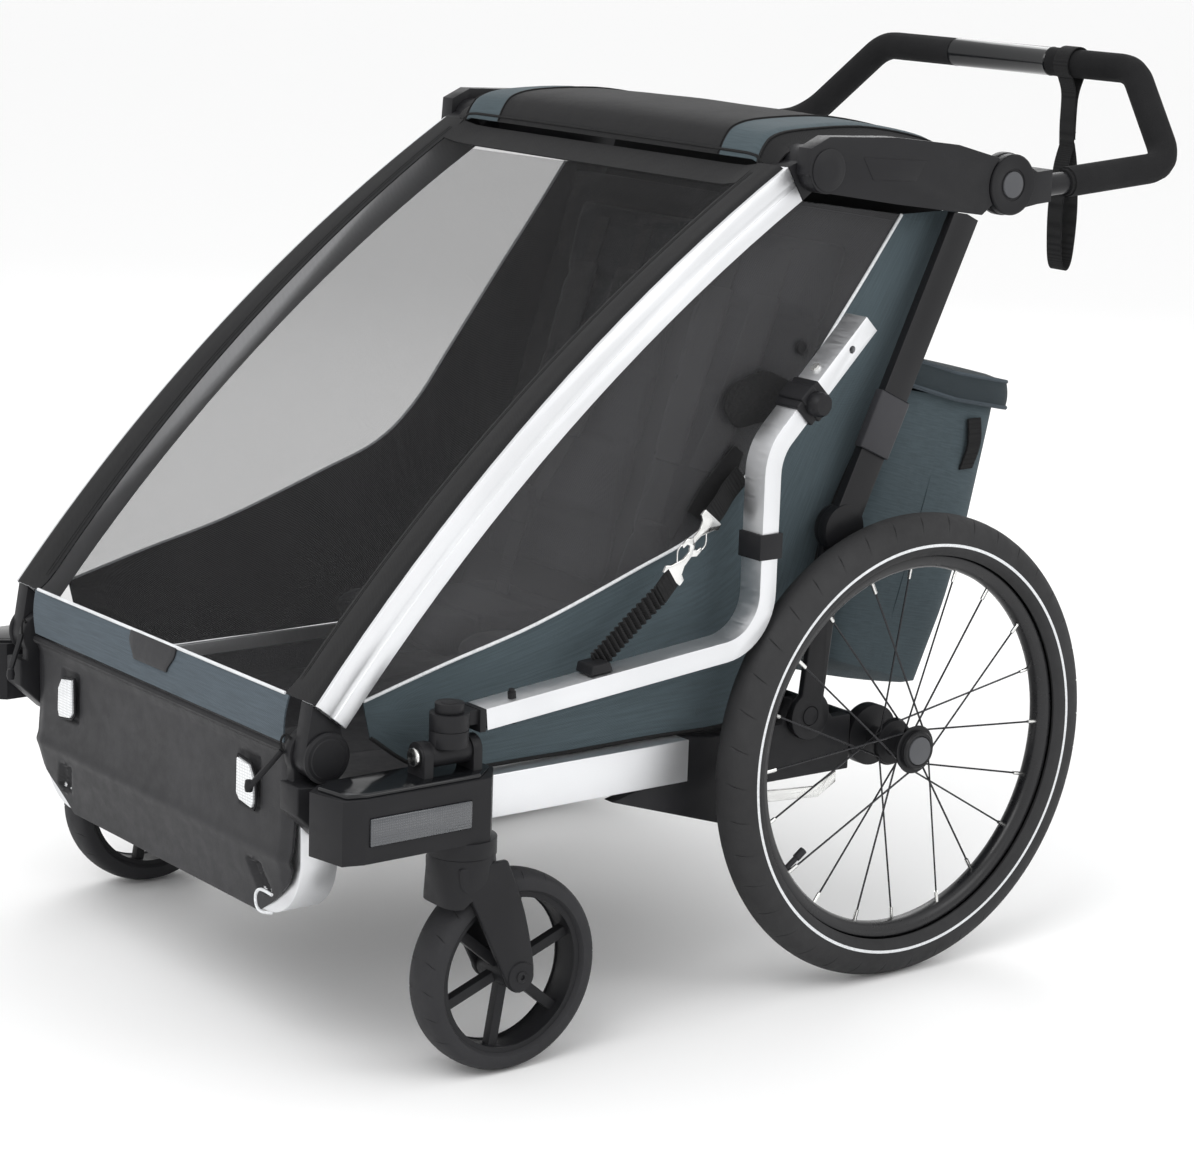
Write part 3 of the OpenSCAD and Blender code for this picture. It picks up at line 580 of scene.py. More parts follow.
def reflector(name, rgb, pitch, rough=0.12):
    """Clear moulded plastic over a grid of prisms."""
    material, tree, shader, place = new_finish(name)
    prisms = add(tree, "ShaderNodeTexVoronoi", Scale=1 / pitch, Randomness=0.0, distance="CHEBYCHEV")
    tree.links.new(place, prisms.inputs["Vector"])
    color = linear(*rgb)
    two_tones(tree, prisms.outputs["Distance"], tone(color, 1.05), tone(color, 0.62),
              shader.inputs["Base Color"],
              0.25, 0.5)
    relief(tree, prisms.outputs["Distance"], shader, 0.001)
    shader.inputs["Roughness"].default_value = rough
    shader.inputs["Coat Weight"].default_value = 1.0
    return material


cover_mesh = see_through("front mesh", (46, 46, 47), 0.68, 0.7, holes=0.0016)
window_film = see_through("window film", (84, 84, 86), 0.56, 0.34, crease=0.006)
prism_white = reflector("white reflector", (232, 234, 236), 0.003)
prism_grey = reflector("grey reflector", (58, 61, 66), 0.0025)
print("finishes:", len(bpy.data.materials))

# %% [markdown]
# ## Frame and castings
# The rails, tubes, brackets and castings have the right shape already. Each gets its edges rounded
# over, as dies and moulds leave them, and the finish of its own material.

# %% Hard parts that keep their shape
HARD_PARTS = [
    # node, body, finish, slot, width of the rounded edge
    ("lower_rails", "chassis", alloy, "alloy", 0.004),
    ("rear_rail_arms", "chassis", black_plastic, "black_plastic", 0.003),
    ("axle_beam", "chassis", painted_black, "black_frame", 0.0015),
    ("brake_linkage", "chassis", zinc, "bright_metal", 0.0008),
    ("brake_pedal", "pedal", black_plastic, "black_plastic", 0.002),
    ("front_hoop", "chassis", alloy, "alloy", 0.004),
    ("joint_housings", "chassis", black_plastic, "black_plastic", 0.003),
    ("caster_housing_left", "chassis", black_plastic, "black_plastic", 0.003),
    ("caster_housing_right", "chassis", black_plastic, "black_plastic", 0.003),
    ("hitch_bolt", "chassis", zinc, "bright_metal", 0.001),
    ("front_tubes", "front_frame", alloy, "alloy", 0.0015),
    ("tube_collars", "front_frame", black_plastic, "black_plastic", 0.003),
    ("side_brackets", "upper_frame", black_plastic, "black_plastic", 0.0022),
    ("roof_bows", "upper_frame", painted_black, "black_frame", 0.001),
    ("rear_tubes", "upper_frame", painted_black, "black_frame", 0.003),
    ("fold_grips", "fold_lock", grip_plastic, "grey_plastic", 0.002),
    ("lower_struts", "struts", painted_black, "black_frame", 0.002),
    ("handlebar_hubs", "handlebar", black_plastic, "black_plastic", 0.002),
    ("release_button_left", "handlebar_button_left", grey_plastic, "grey_plastic", 0.001),
    ("release_button_right", "handlebar_button_right", grey_plastic, "grey_plastic", 0.001),
    ("tow_arm_tube", "tow_arm", alloy, "alloy", 0.0035),
    ("hitch_knuckle", "knuckle", black_plastic, "black_plastic", 0.002),
    ("arm_fittings", "tow_arm", black_plastic, "black_plastic", 0.0015),
    ("axle_button_left", "wheel_button_left", grey_plastic, "grey_plastic", 0.0012),
    ("axle_button_right", "wheel_button_right", grey_plastic, "grey_plastic", 0.0012),
    ("rear_hub_left", "wheel_left", black_plastic, "black_plastic", 0.0012),
    ("rear_hub_right", "wheel_right", black_plastic, "black_plastic", 0.0012),
]
for node, body, finish, slot_name, edge in HARD_PARTS:
    done(soft_edged(node, node + "_finished", edge), body, finish, slot_name, replaces=node)
print("hard parts finished:", len(HARD_PARTS))

# %% [markdown]
# ## Front tubes and the arc they follow
# Both front tubes bend on one arc through the front pivot and the roof pivot. The mesh cover, its
# border, the side windows and the tube's groove all follow the same arc, so it is worked out once.

# %% The arc of the front tubes
FRONT_PIVOT, ROOF_PIVOT = Vector((-0.688, 0.075)), Vector((-0.120, 0.607))
TUBE_LOW, TUBE_TOP = FRONT_PIVOT + Vector((0.002, 0.040)), ROOF_PIVOT + Vector((-0.025, -0.015))
BOW = 0.031
TUBE_W = 0.040
chord = TUBE_TOP - TUBE_LOW
ARC_R = (chord.length_squared / 4 + BOW ** 2) / (2 * BOW)
ARC_C = (TUBE_LOW + TUBE_TOP) / 2 + Vector((chord.y, -chord.x)).normalized() * (ARC_R - BOW)
ANGLE_LOW = math.atan2(TUBE_LOW.y - ARC_C.y, TUBE_LOW.x - ARC_C.x)
ANGLE_TOP = math.atan2(TUBE_TOP.y - ARC_C.y, TUBE_TOP.x - ARC_C.x)


def on_arc(x, off, t):
    """A point at x, off outside the tube's middle line, t of the way from the bottom to the top."""
    a = ANGLE_LOW + (ANGLE_TOP - ANGLE_LOW) * t
    r = ARC_R + off
    return at(x, ARC_C.x + r * math.cos(a), ARC_C.y + r * math.sin(a))


print("front tube arc radius", round(ARC_R, 3), "m")

# %% [markdown]
# ## Front cover
# The cover is one stretched sheet: open mesh in the middle, a black woven border that wraps the
# tubes, and a slate band at the foot with a blank tab. A pale piping closes the mesh along the band.

# %% Mesh, border, piping and band
COVER_X = TUBE_OUT - 0.004
COVER_OFF = TUBE_W / 2 + 0.0022
MESH_TOP = 0.955


def mesh_x(t):
    """Half the width of the open mesh, a little wider at the top."""
    return TUBE_IN - 0.026 + 0.012 * t


def ease(v):
    v = max(0.0, min(1.0, v))
    return v * v * (3 - 2 * v)


def cover_off(x, t):
    """The cover dips a little between the tubes, most in the middle."""
    return COVER_OFF - 0.007 * ease((TUBE_IN + 0.004 - abs(x)) / 0.05) * ease(min(t, 1 - t) / 0.04 + 0.2)


def border_side(side, inner):
    """The woven border beside the mesh, from the mesh's edge out over the tube's face."""
    def place(s, t):
        v = 0.996 * t
        x = inner(v) + (COVER_X - inner(v)) * s
        wrap = 0.004 * max(0.0, (x - COVER_X + 0.006) / 0.006) ** 2
        return on_arc(side * x, cover_off(x, v) - wrap, v)
    return place


arc_length = ARC_R * (ANGLE_LOW - ANGLE_TOP)
mesh = cloth("front_mesh", 24, 40, lambda s, t: on_arc(
    (2 * s - 1) * mesh_x(MESH_TOP * t), cover_off((2 * s - 1) * mesh_x(MESH_TOP * t), MESH_TOP * t),
    MESH_TOP * t), (2 * TUBE_IN, arc_length))
done(mesh, "front_frame", cover_mesh, "mesh", replaces="front_cover", smooth=60)

borders = []
for side in (-1, 1):
    strip = cloth("cover_border", 12, 48, border_side(side, lambda v: mesh_x(v) - 0.001), (0.05, arc_length))
    borders.append(thicken(strip, 0.0016))
lintel = cloth("cover_border", 24, 4, lambda s, t: on_arc(
    (2 * s - 1) * mesh_x(0.97), cover_off((2 * s - 1) * mesh_x(0.97), 0.97) + 0.0006,
    0.950 + 0.046 * t), (0.5, 0.03))
borders.append(thicken(lintel, 0.0016))
border = joined("front_cover_border", borders)
edit(border, outwards)
done(border, "front_frame", black_cloth, "black_fabric", smooth=50)

seams = []
for side in (-1, 1):
    for inset in (0.004, 0.0075):
        line = [on_arc(side * (mesh_x(k / 40) + inset), cover_off(mesh_x(k / 40) + inset, k / 40) + 0.0009,
                       k / 40)
                for k in range(1, 40)]
        seams.append(wire("seam", line, 0.0004, 4))
done(joined("front_cover_stitching", seams), "front_frame", webbing, "webbing", smooth=0)

piping_line = [on_arc(x / 20 * mesh_x(0), cover_off(x / 20 * mesh_x(0), 0) + 0.0012, 0.0)
               for x in range(-20, 21)]
done(wire("front_cover_piping", piping_line, 0.0017, 8), "front_frame", piping_white, "webbing")

PANEL_FACE = -0.7055
band_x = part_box("front_band")[1].x


def band_place(s, t):
    top = on_arc((2 * s - 1) * band_x, cover_off((2 * s - 1) * band_x, 0) - 0.0005, 0.0)
    low = at((2 * s - 1) * (band_x - 0.004), PANEL_FACE, 0.0815)
    bow = 0.0025 * math.sin(math.pi * t)
    return low.lerp(top, t) + Vector((0, -bow, bow * 0.4))


band = cloth("front_band_cloth", 40, 8, band_place, (2 * band_x, 0.052))
thicken(band, 0.0018)
done(band, "front_frame", band_cloth, "slate_fabric", replaces="front_band", smooth=50)


def tab_place(s, t):
    """A blank tab, wide at the piping and narrower at its foot."""
    half = 0.033 + 0.012 * ease(t * 1.4)
    u = 0.5 + (2 * s - 1) * half / (2 * band_x)
    return band_place(u, 0.40 + 0.60 * t) + Vector((0, -0.0022, 0.0006))


tab = cloth("front_tab", 10, 6, tab_place, (0.09, 0.03))
thicken(tab, 0.0022)
round_edges(tab, 0.0008, 2, 40)
done(tab, "front_frame", panel_plastic, "black_plastic")
print("front cover: mesh", round(2 * mesh_x(0.5), 3), "by", round(MESH_TOP * arc_length, 3), "m")

# %% [markdown]
# ## Cabin sides
# A curved seam with pale piping divides each side: smoked window film above, slate cloth below and
# behind. Both are sheets laid between two edge curves, with the slight waves of cloth under tension.

# %% The seam and its two panels
PANEL_X = TUBE_OUT - 0.0115
SEAM = [(-0.645, 0.123), (-0.550, 0.148), (-0.444, 0.174), (-0.322, 0.215), (-0.247, 0.243),
        (-0.196, 0.284), (-0.147, 0.347), (-0.084, 0.430), (-0.034, 0.494), (0.011, 0.554)]
HEM = [(-0.636, 0.086), (-0.565, 0.044), (-0.440, 0.038), (-0.300, 0.038), (-0.190, 0.038),
       (-0.125, 0.062), (-0.095, 0.160), (-0.062, 0.262), (0.018, 0.400), (0.090, 0.556)]
seam_line = smooth_line([at(PANEL_X, y, z) for y, z in SEAM])
hem_line = smooth_line([at(PANEL_X, y, z) for y, z in HEM])


def along(line, s):
    """The point at share s of a line's points."""
    f = s * (len(line) - 1)
    i = min(int(f), len(line) - 2)
    return line[i].lerp(line[i + 1], f - i)


def wave(p, size, scale):
    """A soft, repeatable wave of cloth at point p."""
    return size * noise.noise(Vector((p.y * scale, p.z * scale, 3.1)))


def window_place(s, t):
    upper = on_arc(PANEL_X, -TUBE_W / 2 - 0.001, min(1.0, 0.01 + s))
    p = along(seam_line, s).lerp(upper, t)
    slack = math.sin(math.pi * t) * math.sin(math.pi * min(1, s * 1.05))
    fold = 0.0012 * math.sin(38 * (p.y + 0.55 * p.z)) * noise.noise(Vector((p.y * 5, p.z * 5, 0.4)))
    return p + Vector(((wave(p, 0.004, 6) + fold) * slack, 0, 0))


def lower_place(s, t):
    p = along(hem_line, s).lerp(along(seam_line, s), t)
    slack = math.sin(math.pi * t) * math.sin(math.pi * s) ** 0.5 if 0 < s < 1 else 0
    return p + Vector((wave(p, 0.004, 9) * slack, 0, 0))


def flattens(obj):
    """A soft piece of the cabin crumples as the frame folds; this only gives it a mesh of its own."""
    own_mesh(obj)


window_length = sum((seam_line[i + 1] - seam_line[i]).length for i in range(len(seam_line) - 1))
for side, label in ((1, "left"), (-1, "right")):
    film = cloth("side_window_" + label, 60, 24, window_place, (window_length, 0.2))
    lower = cloth("side_panel_" + label, 60, 16, lower_place, (window_length, 0.13))
    thicken(lower, 0.0016)
    line = [p + Vector((0.0016, 0, 0)) for p in seam_line]
    pipe = wire("side_piping_" + label, line, 0.0017, 8)
    hems = wire("side_hem_" + label, [p + Vector((0.0008, 0, 0)) for p in hem_line], 0.0022, 8)
    pieces = [film, lower, pipe, hems]
    if side < 0:
        flipped = [mirrored(o, o.name + "_m") for o in pieces]
        for old, new in zip(pieces, flipped):
            name = old.name
            bpy.data.objects.remove(old)
            new.name = new.data.name = name
        film, lower, pipe, hems = flipped
    done(film, "chassis", window_film, "window_film", replaces="side_windows", smooth=60)
    done(lower, "chassis", slate_cloth, "slate_fabric", replaces="side_panels", smooth=60)
    line_inside(lower, Vector((-side, 0, 0)), black_cloth)
    done(pipe, "chassis", piping_white, "webbing")
    done(hems, "chassis", black_cloth, "black_fabric")
    flattens(film)
    flattens(lower)
    flattens(pipe)
    flattens(hems)
print("side seam length", round(window_length, 3), "m")

# %% [markdown]
# ## Roof and rear cover
# The roof is a crowned black sheet with a slate panel at each side, sewn over the two bows. The rear
# cover is a slate sheet that runs down behind the seat, with seams round its edges and one across it below
# its top.

# %% Roof
ROOF_LINE = [(-0.158, 0.6125), (-0.150, 0.628), (-0.136, 0.6385), (-0.100, 0.6435), (-0.020, 0.6440),
             (0.050, 0.6340), (0.088, 0.6225), (0.094, 0.6080)]
roof_line = smooth_line([Vector((0, y, z)) for y, z in ROOF_LINE])
ROOF_X = 0.279
SLATE_FROM, SLATE_TO = 0.192, 0.256


def roof_place(s, t):
    x = (2 * s - 1) * ROOF_X
    p = along(roof_line, t)
    crown = 0.006 * (1 - (x / ROOF_X) ** 2) * math.sin(math.pi * t)
    drop = 0.016 * ease((abs(x) - 0.245) / 0.034)
    ripple = 0.0012 * noise.noise(Vector((x * 9, p.y * 9, 7.0))) * math.sin(math.pi * t)
    return at(x, p.y, p.z + crown - drop + ripple)


roof = cloth("roof_cloth", 86, 28, roof_place, (2 * ROOF_X, 0.27))
thicken(roof, 0.002, -1)
done(roof, "upper_frame", [black_cloth, slate_cloth], "black_fabric", replaces="roof_cover", smooth=60)
for f in roof.data.polygons:
    f.material_index = 1 if SLATE_FROM < abs(f.center.x) < SLATE_TO else 0
ribs = []
for x in (-SLATE_TO, -SLATE_FROM, SLATE_FROM, SLATE_TO):
    s = (x / ROOF_X + 1) / 2
    ribs.append(wire("roof_seam", [roof_place(s, k / 30) + Vector((0, 0, 0.0006)) for k in range(31)],
                     0.0012, 8))
for t in (0.05, 0.955):
    ribs.append(wire("roof_hem", [roof_place(k / 40, t) + Vector((0, 0, 0.0004)) for k in range(1, 40)],
                     0.0016, 8))
done(joined("roof_seams", ribs), "upper_frame", webbing, "webbing")

# %% Rear cover
COVER_LINE = [(-0.0645, 0.226), (-0.026, 0.318), (0.020, 0.425), (0.064, 0.530), (0.082, 0.585),
              (0.0885, 0.606)]
cover_line = smooth_line([Vector((0, y, z)) for y, z in COVER_LINE])
REAR_X = 0.2835


def rear_place(s, t):
    x = (2 * s - 1) * REAR_X
    p = along(cover_line, t)
    slack = math.sin(math.pi * t) * (1 - (x / REAR_X) ** 4)
    return at(x, p.y + (0.004 + 0.003 * noise.noise(Vector((x * 7, p.z * 7, 1.7)))) * slack, p.z)


rear = cloth("rear_cover_cloth", 60, 36, rear_place, (2 * REAR_X, 0.376))
thicken(rear, 0.0018)
done(rear, "chassis", slate_cloth, "slate_fabric", replaces="rear_cover", smooth=60)
line_inside(rear, Vector((0, -1, 0)), black_cloth)
flattens(rear)
edges = []
for t in (0.02, 0.86, 0.98):
    edges.append(wire("rear_seam", [rear_place(k / 30, t) + Vector((0, 0.0016, 0)) for k in range(31)],
                      0.0018, 8))
for s in (0.012, 0.988):
    edges.append(wire("rear_seam", [rear_place(s, k / 24) + Vector((0, 0.0016, 0)) for k in range(25)],
                      0.0022, 8))
rear_seams = done(joined("rear_cover_seams", edges), "chassis", webbing, "webbing")
flattens(rear_seams)


# %% [markdown]
# ## Cargo bag
# The bag hangs behind the seat on a frame. Its body is a boxy loft that leans back and bellies out
# a little, its floor sinks between the corners, and its lid is a padded cap with a deep lip.

# %% Bag body, lid and trim
BAG_X = 0.236
BAG_FRONT = [Vector((0, -0.020, 0.072)), Vector((0, -0.010, 0.150)), Vector((0, 0.025, 0.265)),
             Vector((0, 0.060, 0.362))]
BAG_BACK = [Vector((0, 0.143, 0.018)), Vector((0, 0.184, 0.113)), Vector((0, 0.213, 0.206)),
            Vector((0, 0.242, 0.324))]
bag_front, bag_back = smooth_line(BAG_FRONT), smooth_line(BAG_BACK)
BOXY = 7.0


def box_round(s, boxy=BOXY):
    """A point on a square of half-width 1 with rounded corners, at share s of the way round."""
    a = 2 * math.pi * s
    c, d = math.cos(a), math.sin(a)
    r = (abs(c) ** boxy + abs(d) ** boxy) ** (-1 / boxy)
    return c * r, d * r


def bag_place(s, t):
    cx, cy = box_round(s)
    floor_share = 0.24
    if t < floor_share:
        r = t / floor_share
        ring, sink = 0.0, 0.030 * (1 - r * r)
    else:
        r, ring, sink = 1.0, (t - floor_share) / (1 - floor_share), 0.0
    front, back = along(bag_front, ring), along(bag_back, ring)
    mid, half = (front + back) / 2, (back - front) / 2
    belly = 1 + 0.012 * math.sin(math.pi * ring)
    p = mid + half * (cy * r * (0.985 + 0.012 * math.sin(math.pi * ring)))
    crease = 0.0022 * noise.noise(Vector((s * 10, ring * 4, 5.0))) * math.sin(math.pi * ring)
    return at(cx * r * (BAG_X * 0.985 * belly + crease), p.y + crease * 0.5, p.z - sink)


bag = cloth("cargo_bag_body", 120, 40, bag_place, (1.4, 0.5))
sealed(bag)
thicken(bag, 0.0025, -1)
done(bag, "chassis", slate_cloth, "slate_fabric", replaces="cargo_bag", smooth=50)
flattens(bag)

LID_C, LID_HALF = Vector((0, 0.1525, 0.3705)), Vector((0, 0.0965, -0.0195))
LID_X = 0.240


def lid_place(s, t):
    cx, cy = box_round(s, 9.0)
    top_share = 0.6
    if t < top_share:
        r, lip = t / top_share, 0.0
    else:
        r, lip = 1.0, (t - top_share) / (1 - top_share)
    p = LID_C + LID_HALF * (cy * r)
    rise = 0.005 * (1 - r ** 4) + 0.012 * (1 - ease((r - 0.9) / 0.1)) * 0.2
    side = 1 + 0.012 * math.sin(math.pi * lip)
    return at(cx * r * LID_X * side, p.y, p.z + rise - 0.030 * lip + 0.010 * max(0, -cy) * r)


lid = cloth("cargo_bag_lid", 96, 26, lid_place, (1.4, 0.3))
sealed(lid)
thicken(lid, 0.003, -1)
done(lid, "chassis", lid_cloth, "slate_fabric", smooth=50)
flattens(lid)
rim_lines = [wire("lid_edge", [lid_place(k / 96, t) for k in range(97)], r, 8) for t,
             r in ((0.6, 0.0022), (0.985, 0.0026))]
lid_trim = done(joined("cargo_bag_piping", rim_lines), "chassis", band_cloth, "slate_fabric")
flattens(lid_trim)
handles = []
for side in (-1, 1):
    x = side * (BAG_X + 0.0005)
    loop = smooth_line([at(x, 0.185, 0.318), at(x + side * 0.003, 0.184, 0.290), at(x, 0.176, 0.262)])
    handles.append(ribbon("bag_tab", loop, (0, 1, 0), 0.020, 0.0025))
bag_tabs = done(joined("cargo_bag_tabs", handles), "chassis", webbing, "webbing")
flattens(bag_tabs)
print("cargo bag body and lid:", len(bag.data.polygons) + len(lid.data.polygons), "faces")

# %% [markdown]
# ## Seats and harness
# Two children sit side by side. Each place has a padded seat and back. A pad is a thin box that a
# short cloth simulation blows up a little, so its sides pull in between its corners, and the sewn
# channels are pressed in afterwards.

# %% Padded seats
def pad(name, width, length, thick, channels, cap=0.010):
    """A stuffed pad lying flat, centred on the origin."""
    deselect()
    bpy.ops.mesh.primitive_cube_add(size=1)
    obj = name_it(name)
    edit(obj, lambda: bpy.ops.transform.resize(value=(width, length, thick)),
         lambda: bpy.ops.mesh.bevel(offset=thick * 0.42, segments=3))
    use(obj, "REMESH", mode="VOXEL", voxel_size=0.008)
    start = [v.co.copy() for v in obj.data.vertices]
    only(obj)
    puff = obj.modifiers.new("Puff", "CLOTH")
    puff.settings.use_pressure = True
    puff.settings.uniform_pressure_force = 4
    puff.settings.effector_weights.gravity = 0
    for step in range(1, 17):
        scene.frame_set(step)
    bpy.ops.object.modifier_apply(modifier=puff.name)
    scene.frame_set(1)
    for v, was in zip(obj.data.vertices, start):
        move = v.co - was
        if move.length > cap:
            v.co = was + move.normalized() * cap
    use(obj, "SUBSURF", levels=1, render_levels=1)
    for v in obj.data.vertices:
        for line in channels:
            v.co.z -= math.copysign(0.0045, v.co.z) * math.exp(-((v.co.y - line * length) / 0.006) ** 2)
    return obj


def lay(obj, centre, lean):
    """Tips a flat pad about X and puts it in its place."""
    obj.data.transform(Matrix.Translation(centre) @ Matrix.Rotation(lean, 4, "X"))
    return obj


PAD_W, SEAT_X = 0.222, 0.119
BACK_LOW, BACK_TOP = Vector((-0.137, 0.100)), Vector((-0.001, 0.530))
back_lean = math.atan2(BACK_TOP.y - BACK_LOW.y, BACK_TOP.x - BACK_LOW.x)
back_mid = (BACK_LOW + BACK_TOP) / 2
back_model = pad("seat_back", PAD_W, 0.440, 0.020, (-0.32, -0.12, 0.08, 0.28))
seat_model = pad("seat_base", PAD_W, 0.245, 0.024, (-0.2, 0.2))
for side, label in ((1, "left"), (-1, "right")):
    for model, centre, lean, node in (
            (back_model, at(side * SEAT_X, back_mid.x, back_mid.y), back_lean, "seat_back"),
            (seat_model, at(side * SEAT_X, -0.235, 0.070), math.radians(-3.5), "seat_base")):
        cushion = model.copy()
        cushion.data = model.data.copy()
        cushion.name = cushion.data.name = node + "_pad_" + label
        scene.collection.objects.link(cushion)
        done(lay(cushion, centre, lean), "chassis", seat_cloth, "padding", replaces=node, smooth=70)
        if node == "seat_back":
            flattens(cushion)
for model in (back_model, seat_model):
    bpy.data.objects.remove(model)
board = cloth("seat_back_board", 12, 24, lambda s,
              t: at((2 * s - 1) * REAR_X, -0.141 + 0.166 * t, 0.022 + 0.522 * t),
              (0.567, 0.55))
thicken(board, 0.004)
round_edges(board, 0.001, 2, 40)
done(board, "chassis", black_cloth, "black_fabric")
flattens(board)

# %% Cabin floor
# The floor is a shallow tray whose edges turn up along the side panels, with pressed ribs.
FLOOR_FRONT, FLOOR_BACK, FLOOR_Z = -0.690, -0.060, -0.0095
FLOOR_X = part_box("floor_pan")[1].x - 0.0015
NOSE_X = 0.245


def floor_place(s, t):
    y = FLOOR_FRONT + (FLOOR_BACK - FLOOR_FRONT) * t
    half = NOSE_X + (FLOOR_X - NOSE_X) * ease((y + 0.605) / 0.03)
    x = (2 * s - 1) * half
    lip = 0.030 * ease((abs(x) - half + 0.010) / 0.010)
    lip += 0.070 * ease((-0.672 - y) / 0.018) * (1 - ease((abs(x) - half + 0.020) / 0.010))
    rib = 0.003 * math.exp(-((abs(abs(x) - 0.12) - 0.06) / 0.006) ** 2) * ease(min(t, 1 - t) / 0.06)
    return at(x, y, FLOOR_Z + lip + rib)


tray = cloth("cabin_floor", 120, 24, floor_place, (2 * FLOOR_X, FLOOR_BACK - FLOOR_FRONT))
thicken(tray, 0.003)
done(tray, "chassis", panel_plastic, "black_plastic", replaces="floor_pan", smooth=50)
print("cabin floor width", round(2 * FLOOR_X, 3), "m")

# %% Harness
straps, pads = [], []
for side in (-1, 1):
    for k in (-1, 1):
        top = at(side * SEAT_X + k * 0.040, -0.030, 0.505)
        chest = at(side * SEAT_X + k * 0.036, -0.100, 0.320)
        lap = at(side * SEAT_X + k * 0.012, -0.158, 0.200)
        line = smooth_line([top, chest, lap])
        straps.append(ribbon("strap", line, (1, 0, 0), 0.024, 0.002))
        grip = ribbon("strap_pad", [p + Vector((0, -0.004, 0.001)) for p in line[2:9]], (1, 0, 0), 0.044,
                      0.007)
        pads.append(use(grip, "SUBSURF", levels=1, render_levels=1))
    straps.append(ribbon("crotch",
                         smooth_line([at(side * SEAT_X, -0.158, 0.190), at(side * SEAT_X, -0.178, 0.140),
                                                at(side * SEAT_X, -0.190, 0.092)]), (1, 0, 0), 0.024, 0.002))
    buckle = plate("buckle", [(side * SEAT_X + dx, AXLE.z + dz) for dx, dz in
                              ((-0.020, 0.215), (0.020, 0.215), (0.024, 0.195), (0.012, 0.172),
                               (-0.012, 0.172), (-0.024, 0.195))],
                   "Y", AXLE.y - 0.172, AXLE.y - 0.160, 0.003)
    pads.append(buckle)
harness = done(joined("harness_webbing", straps), "chassis", webbing, "webbing", replaces="harness")
flattens(harness)
harness_pads = done(joined("harness_pads", pads), "chassis", black_cloth, "black_fabric")
flattens(harness_pads)


# %% [markdown]
# ## Front panel and its trim
# The front panel is one moulding: a rolled edge under the slate band, a soft crease across it, two
# sunk corners with slots, and its foot drawn in to the hoop. It is a fine grid laid over a formula
# that holds the crease and the recesses, and then given its wall.

# %% Front panel
PANEL_TOP, PANEL_FOOT, CREASE_Z = 0.073, -0.1045, -0.036
PANEL_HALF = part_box("front_panel")[1].x
PANEL_EDGE = [(0.073, 0.0), (-0.045, 0.002), (-0.062, 0.010), (-0.076, 0.026), (-0.090, 0.046),
              (-0.1045, 0.070)]


CORNER_X = 0.236
SLOT_X, SLOT_Z, SLOT_HALF_X, SLOT_HALF_Z = 0.196, -0.066, 0.014, 0.017
LENS_X, LENS_HALF, LENS_LOW, LENS_HIGH = 0.180, 0.020, -0.001, 0.055


def panel_half(z):
    """Half the panel's width at height z: straight down to the crease, then drawn in."""
    for (z0, d0), (z1, d1) in zip(PANEL_EDGE, PANEL_EDGE[1:]):
        if z >= z1:
            return PANEL_HALF - d0 - (d1 - d0) * (z0 - z) / (z0 - z1)
    return PANEL_HALF - PANEL_EDGE[-1][1]


def panel_depth(x, z):
    """How far the panel's face lies behind its foremost line."""
    depth = 0.0012 + 0.010 * ease((CREASE_Z - z) / 0.062) + 0.003 * ease((z - CREASE_Z) / 0.05)
    depth -= 0.0025 * math.exp(-((z - CREASE_Z) / 0.006) ** 2)
    depth -= 0.004 * ease((z - 0.058) / 0.015)
    depth += 0.004 * ease((abs(x) - CORNER_X) / 0.02)
    slot_z = z - SLOT_Z
    slot_x = (abs(x) - SLOT_X) + 0.45 * slot_z
    if abs(slot_z) < SLOT_HALF_Z and abs(slot_x) < SLOT_HALF_X:
        depth += 0.006 * ease((SLOT_HALF_Z - abs(slot_z)) / 0.004) * ease((SLOT_HALF_X - abs(slot_x)) / 0.004)
        depth -= 0.0045 * math.exp(-(slot_x / 0.0022) ** 2)
    beside = abs(abs(x) - LENS_X)
    if beside < LENS_HALF and LENS_LOW < z < LENS_HIGH:
        depth += 0.0030 * ease((LENS_HALF - beside) / 0.003) * ease(min(z - LENS_LOW, LENS_HIGH - z) / 0.003)
    return depth


def panel_place(s, t):
    z = PANEL_FOOT + (PANEL_TOP - PANEL_FOOT) * t
    x = (2 * s - 1) * panel_half(z)
    return at(x, PANEL_FACE + panel_depth(x, z), z)


panel = cloth("front_panel_moulding", 200, 72, panel_place, (0.51, 0.17))
thicken(panel, 0.0032, -1)
edit(panel, outwards)
round_edges(panel, 0.0012, 2, 60)
done(panel, "chassis", panel_plastic, "black_plastic", replaces="front_panel", smooth=50)
roll = [at(x / 20 * (PANEL_HALF - 0.006), -0.7035, 0.0745) for x in range(-20, 21)]
done(wire("front_panel_roll", roll, 0.0045, 16), "chassis", black_plastic, "black_plastic")

lenses, frames = [], []
for side in (-1, 1):
    x = side * LENS_X
    outline = [(x + side * a, AXLE.z + b) for a,
               b in ((-0.014, 0.048), (-0.015, 0.012), (-0.009, 0.006), (0.013, 0.003),
                                                       (0.016, 0.010), (0.015, 0.034), (0.008, 0.045))]
    lenses.append(plate("lens", outline, "Y", AXLE.y - 0.7085, AXLE.y - 0.7035, 0.0014))
    rim = [at(x + side * a, -0.7050, b) for a,
           b in ((-0.0155, 0.0495), (-0.0165, 0.0115), (-0.0095, 0.0045), (0.014, 0.0015),
                                                     (0.0175, 0.0095), (0.0165, 0.0350), (0.0085, 0.0465))]
    frames.append(wire("lens_frame", rim, 0.0016, 8, closed=True))
done(joined("front_reflector_lenses", lenses), "chassis", prism_white, "reflector",
     replaces="front_reflectors")
done(joined("front_reflector_frames", frames), "chassis", black_plastic, "black_plastic")

